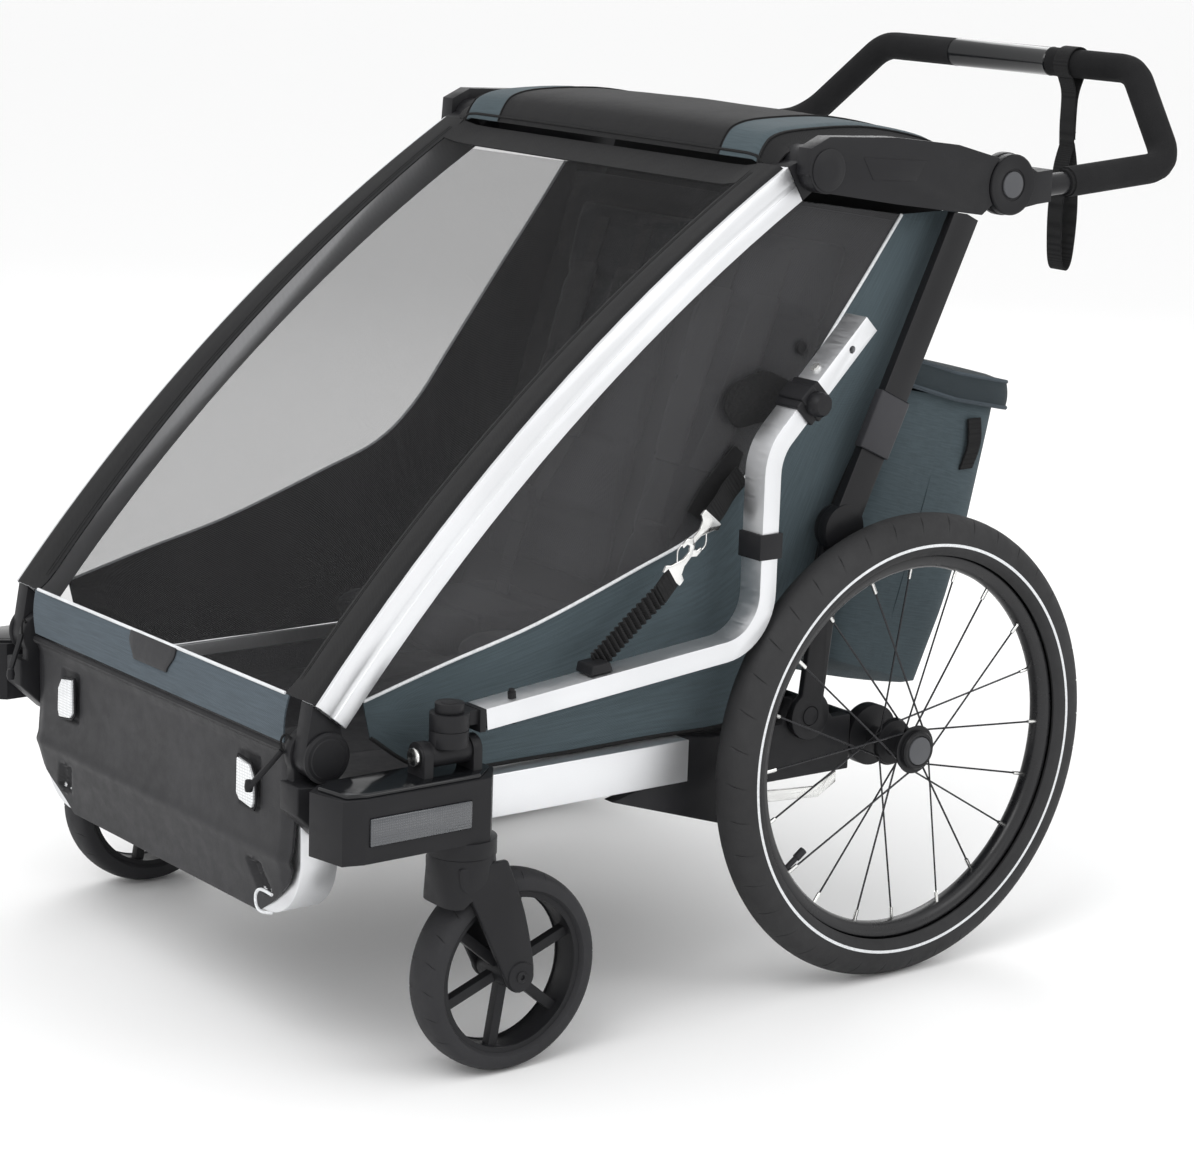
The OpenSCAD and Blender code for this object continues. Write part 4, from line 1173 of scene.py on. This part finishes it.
side_lenses = soft_edged("side_reflectors", "side_reflector_lenses", 0.0012)
done(side_lenses, "chassis", prism_grey, "grey_reflector", replaces="side_reflectors")

# %% Pull tabs and the hoop's loop
tabs, cords = [], []
for side in (-1, 1):
    knots = [at(side * 0.2600, -0.7165, 0.0780), at(side * 0.2535, -0.7255, 0.0640),
             at(side * 0.2415, -0.7415, 0.0400)]
    tabs.append(wire("tab", smooth_line(knots), 0.0030, 12))
    tabs.append(turned("knot", [(0.0001, -0.006), (0.0036, -0.005), (0.0044, 0.0), (0.0036, 0.006),
                                (0.0001, 0.007)],
                       at(side * 0.2405, -0.7395, 0.0420), "Z", 16))
    ring = [at(side * (0.262 + 0.003 * math.cos(a)), -0.7125 + 0.004 * math.cos(a),
               0.085 + 0.009 * math.sin(a))
            for a in [k * math.pi / 8 for k in range(16)]]
    cords.append(wire("cord_ring", ring, 0.0013, 8, closed=True))
done(joined("front_pull_tabs", tabs), "chassis", black_plastic, "black_plastic", replaces="pull_tabs")
done(joined("pull_tab_cords", cords), "chassis", webbing, "webbing")
loop = smooth_line([at(0.236, -0.7100, -0.072), at(0.218, -0.7115, -0.071), at(0.209, -0.7115, -0.078),
                    at(0.210, -0.7115, -0.089), at(0.219, -0.7115, -0.093), at(0.236, -0.7100, -0.090)])
done(wire("hoop_loop", loop, 0.0016, 8), "chassis", piping_white, "webbing")
print("front panel faces:", len(panel.data.polygons))

# %% [markdown]
# ## Tyres and wheels
# A tyre is a closed section carried round the wheel. Its grid is drawn together in narrow bands
# where the tread has a sipe, so that each cut is real. The rear rims are spun, and the spokes cross
# in pairs from the hub's two flanges to silver nipples.

# %% Tyre with sipes
OUTSIDE, INSIDE = 0.72, 0.28
SIPE_STEPS = (0.0, 0.030, 0.055, 0.080, 0.11, 0.34, 0.56, 0.78)


def tyre(name, centre, outer, half_w, inner, sipes, sipe_depth, wall, flat=1.0, skew=0.35):
    """A tyre about X. Its section is an oval of half-width half_w that stops at the bead radius inner."""
    section_r = (outer - inner) * 0.60
    mid_r = outer - section_r
    reach = 2.15
    per = len(SIPE_STEPS)

    def place(s, t):
        outside = t < OUTSIDE
        v = (t / OUTSIDE) if outside else 1 - (t - OUTSIDE) / INSIDE
        a = (2 * v - 1) * reach
        r_out = 0.0 if outside else wall
        shape = abs(math.cos(a)) ** flat
        tuck = 1 - 0.30 * ease((abs(a) - 1.75) / (reach - 1.75))
        across = math.sin(a) * (half_w - r_out) * tuck
        radial = math.copysign(shape, math.cos(a)) * (section_r - r_out)
        cell = s * sipes
        i = min(int(cell + 1e-6), sipes)
        k = int(round((cell - i) * per)) % per if i < sipes else 0
        share = i + SIPE_STEPS[k] if i < sipes else sipes
        edge = abs(a)
        lean = skew * math.copysign(ease((edge - 0.2) / 1.2), a) * 0.5
        cut = sipe_depth if outside and k == 2 and 0.42 < edge < 1.25 else 0.0
        angle = 2 * math.pi * (share + abs(lean)) / sipes
        r = mid_r + radial - cut * max(0.2, math.cos(a))
        x = across - cut * math.copysign(1, a) * 0.4
        return centre + Vector((x, r * math.cos(angle), r * math.sin(angle)))

    obj = cloth(name, sipes * per, 40, place, (2 * math.pi * outer, 0.1))
    return edit(obj, merge, lambda: bpy.ops.mesh.dissolve_degenerate(threshold=0.000001), outwards)


def spin_ring(name, centre, r_mid, x_mid, r_half, x_half, steps=128):
    """A thin flat ring about X, for a stripe or a lip."""
    profile = [(r_mid - r_half, x_mid - x_half), (r_mid + r_half, x_mid - x_half),
               (r_mid + r_half, x_mid + x_half), (r_mid - r_half, x_mid + x_half)]
    return turned(name, profile, centre, "X", steps)


TYRE_W = 0.0465
BEAD_R = WHEEL_R - 0.043
RIM_IN = BEAD_R - 0.014
SPOKES = 20
STRIPE_R, STRIPE_X = 0.2195, 0.0228
for side, label in ((1, "left"), (-1, "right")):
    hub = Vector((side * WHEEL_X, AXLE.y, AXLE.z))
    body = "wheel_" + label
    rubber = tyre("tyre_" + label, hub, WHEEL_R, TYRE_W / 2, BEAD_R - 0.004, 40, 0.0014, 0.0035, flat=0.82)
    done(rubber, body, tyre_rubber, "tyre", replaces="rear_tyre_" + label, smooth=40)
    stripes = [spin_ring("stripe", hub, STRIPE_R, x, 0.0015, 0.0006, 160) for x in (-STRIPE_X, STRIPE_X)]
    done(joined("tyre_stripe_" + label, stripes), body, piping_white, "reflector")
    rim = turned("rim_" + label, [
        (RIM_IN, -0.006), (RIM_IN - 0.0012, 0.0), (RIM_IN, 0.006), (RIM_IN + 0.004, 0.0105),
        (BEAD_R - 0.002, 0.0125),
        (BEAD_R - 0.0005, 0.0118), (BEAD_R - 0.0015, 0.0100), (RIM_IN + 0.008, 0.0080), (RIM_IN + 0.007, 0.0),
        (RIM_IN + 0.008, -0.0080), (BEAD_R - 0.0015, -0.0100), (BEAD_R - 0.0005, -0.0118),
        (BEAD_R - 0.002, -0.0125),
        (RIM_IN + 0.004, -0.0105)], hub, "X", 128)
    done(rim, body, rim_black, "rim", replaces="rear_rim_" + label, smooth=40)
    spokes, nipples = [], []
    for i in range(SPOKES):
        angle = 2 * math.pi * i / SPOKES
        flange = 1 if i % 2 == 0 else -1
        lead = angle + math.radians(58 if i % 4 < 2 else -58)
        foot = hub + Vector((flange * 0.0155, 0.0225 * math.cos(lead), 0.0225 * math.sin(lead)))
        tip = hub + Vector((flange * 0.003, RIM_IN * math.cos(angle), RIM_IN * math.sin(angle)))
        spokes.append(wire("spoke", [foot, tip], 0.00105, 8))
        start = tip + (foot - tip).normalized() * 0.013
        nipples.append(wire("nipple", [start, tip + (tip - foot).normalized() * 0.001], 0.0021, 8))
    done(joined("spokes_" + label, spokes), body, spoke_black, "bright_metal", smooth=60)
    done(joined("spoke_nipples_" + label, nipples), body, zinc, "bright_metal", smooth=60)
    valve_angle = math.radians(180 + 35)
    axis = Vector((0, math.cos(valve_angle), math.sin(valve_angle)))
    stem = wire("stem", [hub + axis * (RIM_IN + 0.002), hub + axis * (RIM_IN - 0.020)], 0.0030, 12)
    cap = wire("cap", [hub + axis * (RIM_IN - 0.018), hub + axis * (RIM_IN - 0.030)], 0.0042, 12)
    done(joined("valve_" + label, [stem, cap]), body, caster_rubber, "rim", smooth=60)
    rings = [turned("flange",
                    [(0.0162, -0.0008), (0.0252, -0.0008), (0.0260, 0.0), (0.0252, 0.0008), (0.0162, 0.0008)],
                    hub + Vector((x, 0, 0)), "X", 48) for x in (-0.0185, 0.0185)]
    rings.append(turned("cap_ring",
                        [(0.0158, 0.0225), (0.0200, 0.0215), (0.0206, 0.0235), (0.0190, 0.0256),
                         (0.0160, 0.0256)],
                        Vector((hub.x, hub.y, hub.z)) if side > 0 else hub - Vector((0.0478, 0, 0)), "X", 48))
    done(joined("hub_rings_" + label, rings), body, painted_black, "black_plastic", smooth=40)
print("tyre faces:", len(rubber.data.polygons), "and spokes on each wheel:", SPOKES)


# %% [markdown]
# ## Casters
# Each caster's fork starts as a round crown under its collar and flows into two blades that sweep
# back to the axle. The crown is a loft whose underside clears the tyre, and a blade is an outline
# with a sunk panel on its outer face.

# %% Forks, wheels and tyres of the casters
CASTER = middle("caster_tyre_left")
CASTER_R = CASTER.z
SWIVEL_Y = -0.567
COLLAR_LOW = -0.0225
FORK_OUT = 0.0305
FORK_IN = 0.0235
COLLAR_R, CROWN_X, CROWN_Y = 0.0330, 0.0303, 0.0300
BLADE = [(-0.5880, -0.0290), (-0.5865, -0.0480), (-0.5750, -0.0620), (-0.5640, -0.0830), (-0.5480, -0.1170),
         (-0.5330, -0.1470), (-0.5260, -0.1610), (-0.5150, -0.1665), (-0.5035, -0.1610), (-0.4985, -0.1495),
         (-0.5015, -0.1250), (-0.5110, -0.0850), (-0.5240, -0.0500), (-0.5330, -0.0290)]
BOSS = [(0.0001, -0.001), (0.0135, -0.001), (0.0150, 0.0), (0.0145, 0.0014), (0.0095, 0.0018),
        (0.0001, 0.0018)]


def crown_place(s, t):
    a = 2 * math.pi * s
    c, d = math.cos(a), math.sin(a)
    boxy = (abs(c) ** 4 + abs(d) ** 4) ** -0.25
    flow = ease((t - 0.12) / 0.5)
    shrink = ease(t / 0.12) if t < 0.12 else 1 - ease((t - 0.7) / 0.3) * 0.999
    x = c * (COLLAR_R * (1 - flow) + CROWN_X * boxy * flow) * max(0.001, shrink)
    y = SWIVEL_Y + d * (COLLAR_R * (1 - flow) + CROWN_Y * boxy * flow) * max(0.001, shrink)
    under = -0.1495 + math.sqrt(max(0.0, 0.1050 ** 2 - (y + 0.515) ** 2))
    low = max(-0.070, min(under, -0.030))
    drop = 0.0 if t < 0.12 else ease((t - 0.12) / 0.58) ** 0.8
    return at(x, y, COLLAR_LOW + (low - COLLAR_LOW) * drop)


def shift(obj, x):
    obj.data.transform(Matrix.Translation((x, 0, 0)))
    return obj


for side, label in ((1, "left"), (-1, "right")):
    hub = Vector((side * CASTER.x, CASTER.y, CASTER.z))
    parts = []
    crown = cloth("crown", 48, 30, crown_place, (0.2, 0.05))
    sealed(crown)
    parts.append(shift(crown, hub.x))
    blade_line = smooth_line([Vector((0, AXLE.y + y, AXLE.z + z)) for y, z in BLADE], 3)
    for face in (-1, 1):
        low, high = (hub.x + FORK_IN, hub.x + FORK_OUT) if face > 0 else (hub.x - FORK_OUT, hub.x - FORK_IN)
        blade = plate("blade", [(p.y, p.z) for p in blade_line], "X", low, high)
        only(blade)
        bpy.ops.object.mode_set(mode="EDIT")
        bpy.ops.mesh.select_all(action="DESELECT")
        net = bmesh.from_edit_mesh(blade.data)
        for f in net.faces:
            f.select_set(f.normal.x * face > 0.9 and len(f.verts) > 8)
        bmesh.update_edit_mesh(blade.data)
        bpy.ops.mesh.inset(thickness=0.0075)
        bpy.ops.mesh.inset(thickness=0.0010)
        bpy.ops.transform.translate(value=(-face * 0.0012, 0, 0))
        bpy.ops.object.mode_set(mode="OBJECT")
        round_edges(blade, 0.0022, 3, 60)
        parts.append(blade)
        outer = hub.x + face * FORK_OUT
        boss = [(r, face * h) for r, h in BOSS]
        parts.append(turned("boss", boss, Vector((outer, hub.y, hub.z)), "X", 40))
    done(joined("caster_fork_" + label + "_finished", parts), "fork_" + label, black_plastic, "black_plastic",
         replaces="caster_fork_" + label, smooth=45)
    bolts = []
    for face in (-1, 1):
        x = hub.x + face * (FORK_OUT + 0.0018)
        bolts.append(turned("bolt", [(0.0022, 0.0), (0.0052, 0.0), (0.0060, face * 0.0007),
                                     (0.0052, face * 0.0016),
                                     (0.0026, face * 0.0016), (0.0022, face * 0.0004)],
                                     Vector((x, hub.y, hub.z)), "X", 24))
    pin = [turned("pin", [(0.0001, -0.0230), (0.0058, -0.0230), (0.0058, 0.0230), (0.0001, 0.0230)], hub,
                  "X", 32)]
    done(joined("caster_axle_" + label, bolts + pin), "fork_" + label, painted_black, "black_plastic",
         smooth=30)
    wheel = soft_edged("caster_wheel_" + label, "caster_hub", 0.0018)
    lips = [turned("lip", [(0.0755, x - 0.0008), (0.0835, x - 0.0014), (0.0858, x), (0.0835, x + 0.0014),
                           (0.0755, x + 0.0008)],
                   hub, "X", 96) for x in (-0.0155, 0.0155)]
    done(joined("caster_rim_" + label, [wheel] + lips), "caster_" + label, black_plastic, "black_plastic",
         replaces="caster_wheel_" + label, smooth=40)
    rubber = tyre("caster_tread_" + label, hub, CASTER_R, 0.0215, 0.0795, 22, 0.0010, 0.003, flat=0.6)
    done(rubber, "caster_" + label, caster_rubber, "rubber_tyre", replaces="caster_tyre_" + label, smooth=40)

# %% Housing lids and pivot knobs
LID_PLAN = [(0.3140, -0.7000), (0.3270, -0.7190), (0.3655, -0.7120), (0.3712, -0.6920), (0.3712, -0.5650),
            (0.3500, -0.5405), (0.3140, -0.5405)]
lids = []
for side in (-1, 1):
    plan = [(side * x, AXLE.y + y) for x, y in LID_PLAN]
    lids.append(plate("lid", plan, "Z", AXLE.z + 0.0545, AXLE.z + 0.0605, 0.0022))
done(joined("caster_housing_lids", lids), "chassis", gloss_plastic, "black_plastic", smooth=40)


def dome(name, centre, side, radius, height):
    """A low domed knob on the outer side, with a shallow ring around its face."""
    h = side * height
    return turned(name, [(0.0001, 0.0), (radius * 0.94, 0.0), (radius, h * 0.18), (radius, h * 0.5),
                         (radius * 0.9, h * 0.78),
                         (radius * 0.78, h * 0.80), (radius * 0.74, h * 0.92), (radius * 0.4, h),
                         (0.0001, h)],
                  centre, "X", 48)


front_knobs, roof_knobs, hub_rings = [], [], []
for side in (-1, 1):
    front_knobs.append(dome("knob", at(side * 0.2918, *FRONT_PIVOT), side, 0.0250, 0.0075))
    roof_knobs.append(dome("knob", at(side * 0.3205, *ROOF_PIVOT), side, 0.0215, 0.0030))
    h = side * 0.0016
    hub_rings.append(turned("ring", [(0.0168, 0.0), (0.0300, 0.0), (0.0314, h * 0.4), (0.0304, h),
                                     (0.0185, h), (0.0170, h * 0.5)],
                            at(side * 0.3209, 0.138, 0.583), "X", 56))
done(joined("front_pivot_knobs", front_knobs), "front_frame", black_plastic, "black_plastic", smooth=35)
done(joined("roof_pivot_knobs", roof_knobs), "upper_frame", black_plastic, "black_plastic", smooth=35)
done(joined("handlebar_hub_rings", hub_rings), "handlebar", black_plastic, "black_plastic", smooth=35)

# %% [markdown]
# ## Handlebar
# The bar is one tube that rises, bends inwards at each side and crosses behind. Foam covers it from
# just behind the hinges, a glossy sleeve sits in the middle, and a wrist strap hangs from the left.

# %% Bar, foam, sleeve and strap
BAR_Y, BAR_Z = 0.432, 0.690
BAR_A, BAR_B = at(0.303, 0.176, 0.576), at(0.303, 0.3938, 0.593)
BAR_C = at(0.207, BAR_Y, BAR_Z)


def other(p):
    return Vector((-p.x, p.y, p.z))


def rounded(knots, radius, steps=8):
    """A route whose corners are rounded to a radius."""
    line = [knots[0]]
    for a, b, c in zip(knots, knots[1:], knots[2:]):
        u, w = (a - b).normalized(), (c - b).normalized()
        half = u.angle(w) / 2
        mid = b + (u + w).normalized() * radius / math.sin(half)
        e = (b + u * radius / math.tan(half) - mid).normalized()
        for i in range(steps + 1):
            turn_by = (math.pi - 2 * half) * i / steps
            line.append(mid + radius * (math.cos(turn_by) * e - math.sin(turn_by) * u))
    return line + [knots[-1]]


bar_line = rounded([BAR_A, BAR_B, BAR_C, other(BAR_C), other(BAR_B), other(BAR_A)], 0.045)
done(wire("handlebar_bar", bar_line, 0.0119, 24), "handlebar", painted_black, "black_frame",
     replaces="handlebar_tube",
     smooth=50)
SLEEVE_X = 0.080
foam_start = BAR_A.lerp(BAR_B, 0.060 / (BAR_B - BAR_A).length)
left_line = [foam_start] + [p for p in bar_line[1:]
                            if p.x > SLEEVE_X + 0.001] + [at(SLEEVE_X + 0.0006, BAR_Y, BAR_Z)]
foams = [wire("foam", left_line, 0.0164, 24),
         wire("foam", [other(p) for p in reversed(left_line)], 0.0164, 24)]
toe = (BAR_B - BAR_A).normalized()
for p in (foam_start, other(foam_start)):
    way = Vector((0, toe.y, toe.z))
    foams.append(wire("foam_end", [p - way * 0.004, p + way * 0.002], 0.0145, 24))
done(joined("foam_grips", foams), "handlebar", foam, "foam", replaces="handlebar_grips", smooth=50)
sleeve_rows = [(0.0125, -0.0800), (0.0160, -0.0800), (0.0168, -0.0785), (0.0163, -0.0765), (0.0163, 0.0765),
               (0.0168, 0.0785), (0.0160, 0.0800), (0.0125, 0.0800)]
done(turned("handlebar_sleeve", sleeve_rows, at(0, BAR_Y, BAR_Z), "X", 48), "handlebar", gloss_plastic,
     "grey_plastic",
     replaces="centre_sleeve", smooth=40)

STRAP_X, STRAP_W = 0.1095, 0.0235
wrap = [at(STRAP_X, BAR_Y + 0.0185 * math.sin(a), BAR_Z + 0.0185 * math.cos(a))
        for a in [math.radians(v) for v in range(-150, 151, 15)]]
stem_low = at(STRAP_X, BAR_Y, 0.596)
hang = [wrap[0]] + [at(STRAP_X, 0.4300, 0.655), at(STRAP_X, 0.4305, 0.620), stem_low]
loop_line = [stem_low, at(STRAP_X, 0.4245, 0.570), at(STRAP_X, 0.4200, 0.520), at(STRAP_X, 0.4235, 0.468),
             at(STRAP_X, 0.4320, 0.4535), at(STRAP_X, 0.4405, 0.468), at(STRAP_X, 0.4440, 0.520),
             at(STRAP_X, 0.4395, 0.570), at(STRAP_X, 0.4325, 0.600)]
straps = [ribbon("wrist", wrap, (1, 0, 0), STRAP_W, 0.0016),
          ribbon("wrist", smooth_line(hang), (1, 0, 0), STRAP_W, 0.0018),
          ribbon("wrist", smooth_line([wrap[-1], at(STRAP_X, 0.4335, 0.650), at(STRAP_X, 0.4330, 0.604)]),
                 (1, 0, 0), STRAP_W, 0.0018),
          ribbon("wrist", smooth_line(loop_line), (1, 0, 0), STRAP_W, 0.0017)]
for z in (0.604, 0.612, 0.648):
    straps.append(wire("stitch", [at(STRAP_X - 0.0105, 0.4345, z), at(STRAP_X + 0.0105, 0.4345, z)], 0.0006,
                       6))
done(joined("wrist_strap_webbing", straps), "handlebar", webbing, "webbing", replaces="wrist_strap",
     smooth=40)
print("handlebar line:", len(bar_line), "points")

# %% [markdown]
# ## Tow arm and safety strap
# The arm is stowed along the left side. A clamp holds it to the frame near its top, and a shirred
# elastic strap with a hook runs from its foot. A second hook hangs from the body on a short strap.
# The two hooks are cast in one pattern, so one outline makes both.

# %% Arm trim
ARM_X = 0.340
ARM_HALF_X, ARM_HALF_H = 0.0155, 0.0105
ARM_LEAN, ARM_TOP_LEAN = math.radians(5.5), math.radians(45)
ARM_TURN = Vector((-0.1887, 0.3489))
top_dir = Vector((math.sin(ARM_TOP_LEAN), math.cos(ARM_TOP_LEAN)))
top_face = Vector((-math.cos(ARM_TOP_LEAN), math.sin(ARM_TOP_LEAN)))


def on_arm(distance, off, x=ARM_X):
    """A point beside the arm's upper run, off from its middle line."""
    p = ARM_TURN + top_dir * distance + top_face * off
    return at(x, p.x, p.y)


def arm_sleeve(name, start, end, gap_x, gap_off, edge):
    corners = [on_arm(start, -ARM_HALF_H - gap_off), on_arm(end, -ARM_HALF_H - gap_off),
               on_arm(end, ARM_HALF_H + gap_off), on_arm(start, ARM_HALF_H + gap_off)]
    return plate(name, [(p.y, p.z) for p in corners],
                 "X", ARM_X - ARM_HALF_X - 0.0009, ARM_X + ARM_HALF_X + gap_x,
                 edge)


clamp = [arm_sleeve("clamp", 0.026, 0.062, 0.004, 0.004, 0.002),
         arm_sleeve("clamp", 0.034, 0.054, 0.006, 0.007, 0.002)]
knob_mid = on_arm(0.044, 0.0)
clamp.append(turned("thumb",
                    [(0.0001, 0.0), (0.0120, 0.0), (0.0135, 0.003), (0.0125, 0.012), (0.0100, 0.015),
                     (0.0001, 0.0155)],
                    Vector((ARM_X + 0.0190, knob_mid.y, knob_mid.z)), "X", 10))
done(joined("arm_clamp", clamp), "tow_arm", black_plastic, "black_plastic", smooth=35)


def pin_head(name, start, way, radius, height):
    """A small domed fastener head that stands on a face."""
    return [wire(name, [start - way * 0.001, start + way * height * 0.7], radius, 16),
            wire(name, [start, start + way * height], radius * 0.72, 16)]


face_way = Vector((0, top_face.x, top_face.y))
bolt_head = pin_head("bolt", on_arm(0.078, 0.0105), face_way, 0.0055, 0.0034)
done(joined("arm_bolt", bolt_head), "tow_arm", zinc, "bright_metal", smooth=40)
run_way = Vector((0, -math.sin(ARM_LEAN), math.cos(ARM_LEAN)))
run_foot = at(0.345, -0.512, 0.1215)
pins = pin_head("pin", run_foot, run_way, 0.0042, 0.009) + pin_head("pin", run_foot - run_way * 0.0215,
                                                                    -run_way, 0.0042, 0.004)
clip_at = at(0.338, -0.409, 0.1325)
clip = plate("clip", [(clip_at.y + a, clip_at.z + b) for a,
                      b in ((-0.013, -0.001), (-0.011, 0.009), (0.010, 0.011), (0.014, 0.001))],
             "X", 0.3250, 0.3515, 0.0016)
done(joined("arm_pins", pins + [clip]), "tow_arm", black_plastic, "black_plastic", smooth=35)


# %% Safety strap and hooks
def shirred(knots, wavelength, height, per_wave=6):
    """A line whose points swing from side to side like gathered elastic."""
    base = smooth_line(knots, 10)
    length = sum((base[i + 1] - base[i]).length for i in range(len(base) - 1))
    count = int(length / wavelength * per_wave)
    return [along(base, k / count) + Vector((height * math.sin(2 * math.pi * k / per_wave), 0, 0))
            for k in range(count + 1)]


def flat_across(a, b):
    """The width direction of a strap that runs from a to b and faces sideways."""
    way = (b - a).normalized()
    return Vector((0, -way.z, way.y))


foot, top = at(0.3335, -0.404, 0.1385), at(0.3250, -0.3190, 0.1960)
elastic = ribbon("elastic",
                 shirred([foot, at(0.332, -0.380, 0.1560), at(0.328, -0.350, 0.1760), top], 0.0065, 0.0021),
                 flat_across(foot, top), 0.0215, 0.0016)
end = ribbon("elastic_end", smooth_line([top, at(0.3230, -0.309, 0.2045), at(0.3215, -0.301, 0.2110)]),
             flat_across(foot, top),
             0.0235, 0.0024)
done(joined("arm_safety_strap", [elastic, end]), "tow_arm", webbing, "webbing", replaces="arm_strap",
     smooth=50)

HOOK = [(0.000, -0.0135), (0.006, -0.0145), (0.0085, -0.0085), (0.015, -0.0060), (0.025, -0.0075),
        (0.034, -0.0040),
        (0.0375, 0.0030), (0.034, 0.0090), (0.027, 0.0105), (0.0255, 0.0070), (0.0300, 0.0050),
        (0.0310, 0.0010),
        (0.0265, -0.0022), (0.019, 0.0000), (0.013, 0.0055), (0.0085, 0.0095), (0.006, 0.0145),
        (0.000, 0.0135)]


HOOK_SCALE = 1.25


def hook(name, start, end, x):
    """A cast hook with a wide bar for its strap and a wire gate across its mouth."""
    way = (end - start).normalized()
    side = Vector((0, -way.z, way.y))
    pts = [start + way * u * HOOK_SCALE + side * w for u, w in HOOK]
    body = plate(name, [(p.y, p.z) for p in pts], "X", x, x + 0.0030, 0.0009, 2)
    gate = wire("gate", smooth_line([start + way * 0.0175 + side * 0.004, start + way * 0.0275 + side * 0.011,
                                     start + way * 0.0385 + side * 0.0085]), 0.0008, 6)
    gate.data.transform(Matrix.Translation((x + 0.0015 - start.x, 0, 0)))
    return joined(name, [body, gate])


hook_a, hook_b = at(0.320, -0.3030, 0.2090), at(0.320, -0.2780, 0.2420)
done(hook("hook_on_arm", hook_a, hook_b, 0.3195), "tow_arm", zinc, "bright_metal", replaces="lower_hook",
     smooth=40)
hook_c, hook_d = at(0.316, -0.2480, 0.2660), at(0.316, -0.2740, 0.2340)
upper_hook = done(hook("hook_on_body", hook_c, hook_d, 0.3150), "chassis", zinc, "bright_metal",
                  replaces="upper_hook",
                  smooth=40)
strap_low, strap_high = at(0.3150, -0.2500, 0.2640), at(0.3020, -0.2000, 0.3020)
belt = ribbon("belt", smooth_line([strap_low, at(0.312, -0.236, 0.275), at(0.306, -0.220, 0.288),
                                   strap_high]),
              flat_across(strap_low, strap_high), 0.0235, 0.0024)
patch_line = [at(0.2935, y, z) for y,
              z in ((-0.262, 0.268), (-0.246, 0.290), (-0.222, 0.314), (-0.203, 0.330), (-0.192, 0.322),
                                          (-0.200, 0.300), (-0.222, 0.276), (-0.240, 0.256))]
patch = plate("patch", [(p.y, p.z) for p in patch_line], "X", 0.2905, 0.2935, 0.0008)
belt_piece = done(joined("body_safety_strap", [belt, patch]), "chassis", webbing, "webbing",
                  replaces="body_strap", smooth=50)
for piece in (upper_hook, belt_piece):
    flattens(piece)
FLAP = [(-0.224, 0.370), (-0.218, 0.388), (-0.202, 0.397), (-0.176, 0.404), (-0.158, 0.401), (-0.119, 0.378),
        (-0.140, 0.356),
        (-0.176, 0.352), (-0.206, 0.350)]
flap_line = smooth_line([Vector((0, y, z)) for y, z in FLAP] + [Vector((0, *FLAP[0]))], 4)[:-1]
flap = plate("window_flap", [(AXLE.y + p.y, AXLE.z + p.z) for p in flap_line], "X", 0.2950, 0.2975, 0.0009)
done(flap, "chassis", black_cloth, "black_fabric", smooth=40)
flattens(flap)
snap_mid = at(0.2905, -0.119, 0.424)
snap = done(turned("window_snap",
                   [(0.0001, 0.0), (0.0065, 0.0), (0.0072, 0.0010), (0.0055, 0.0022), (0.0025, 0.0018),
                                   (0.0001, 0.0018)], snap_mid, "X", 24), "chassis", black_plastic,
                                   "black_plastic", smooth=40)
flattens(snap)
print("safety strap and hooks made")

# %% [markdown]
# ## Floor and light
# The floor is a wide pale plane, and three large soft lamps stand around the trailer, so edges are
# read by soft gradients and not by hard shadows.

# %% Floor, sky and lamps
deselect()
bpy.ops.mesh.primitive_plane_add(size=60)
floor = name_it("floor")
paint, tree, shader, place = new_finish("pale floor")
shader.inputs["Base Color"].default_value = (0.93, 0.93, 0.93, 1)
shader.inputs["Roughness"].default_value = 0.7
floor.data.materials.append(paint)
world = bpy.data.worlds.new("studio")
scene.world = world
world.use_nodes = True
world.node_tree.nodes["Background"].inputs["Color"].default_value = (1, 1, 1, 1)
world.node_tree.nodes["Background"].inputs["Strength"].default_value = 1.02
scene.view_settings.view_transform = "Standard"


def lamp(name, where, aim, size, watts):
    data = bpy.data.lights.new(name, "AREA")
    data.energy, data.size = watts, size
    obj = bpy.data.objects.new(name, data)
    scene.collection.objects.link(obj)
    obj.location = where
    obj.rotation_euler = (Vector(aim) - Vector(where)).to_track_quat("-Z", "Y").to_euler()
    return obj


lamp("key", (1.2, -2.6, 3.4), (0, 0, 0.4), 2.2, 60)
lamp("side", (3.4, 1.2, 2.4), (0, 0, 0.4), 2.0, 22)
lamp("back", (-2.5, 2.5, 2.8), (0, 0, 0.5), 2.0, 30)
print("lights:", len(bpy.data.lights))
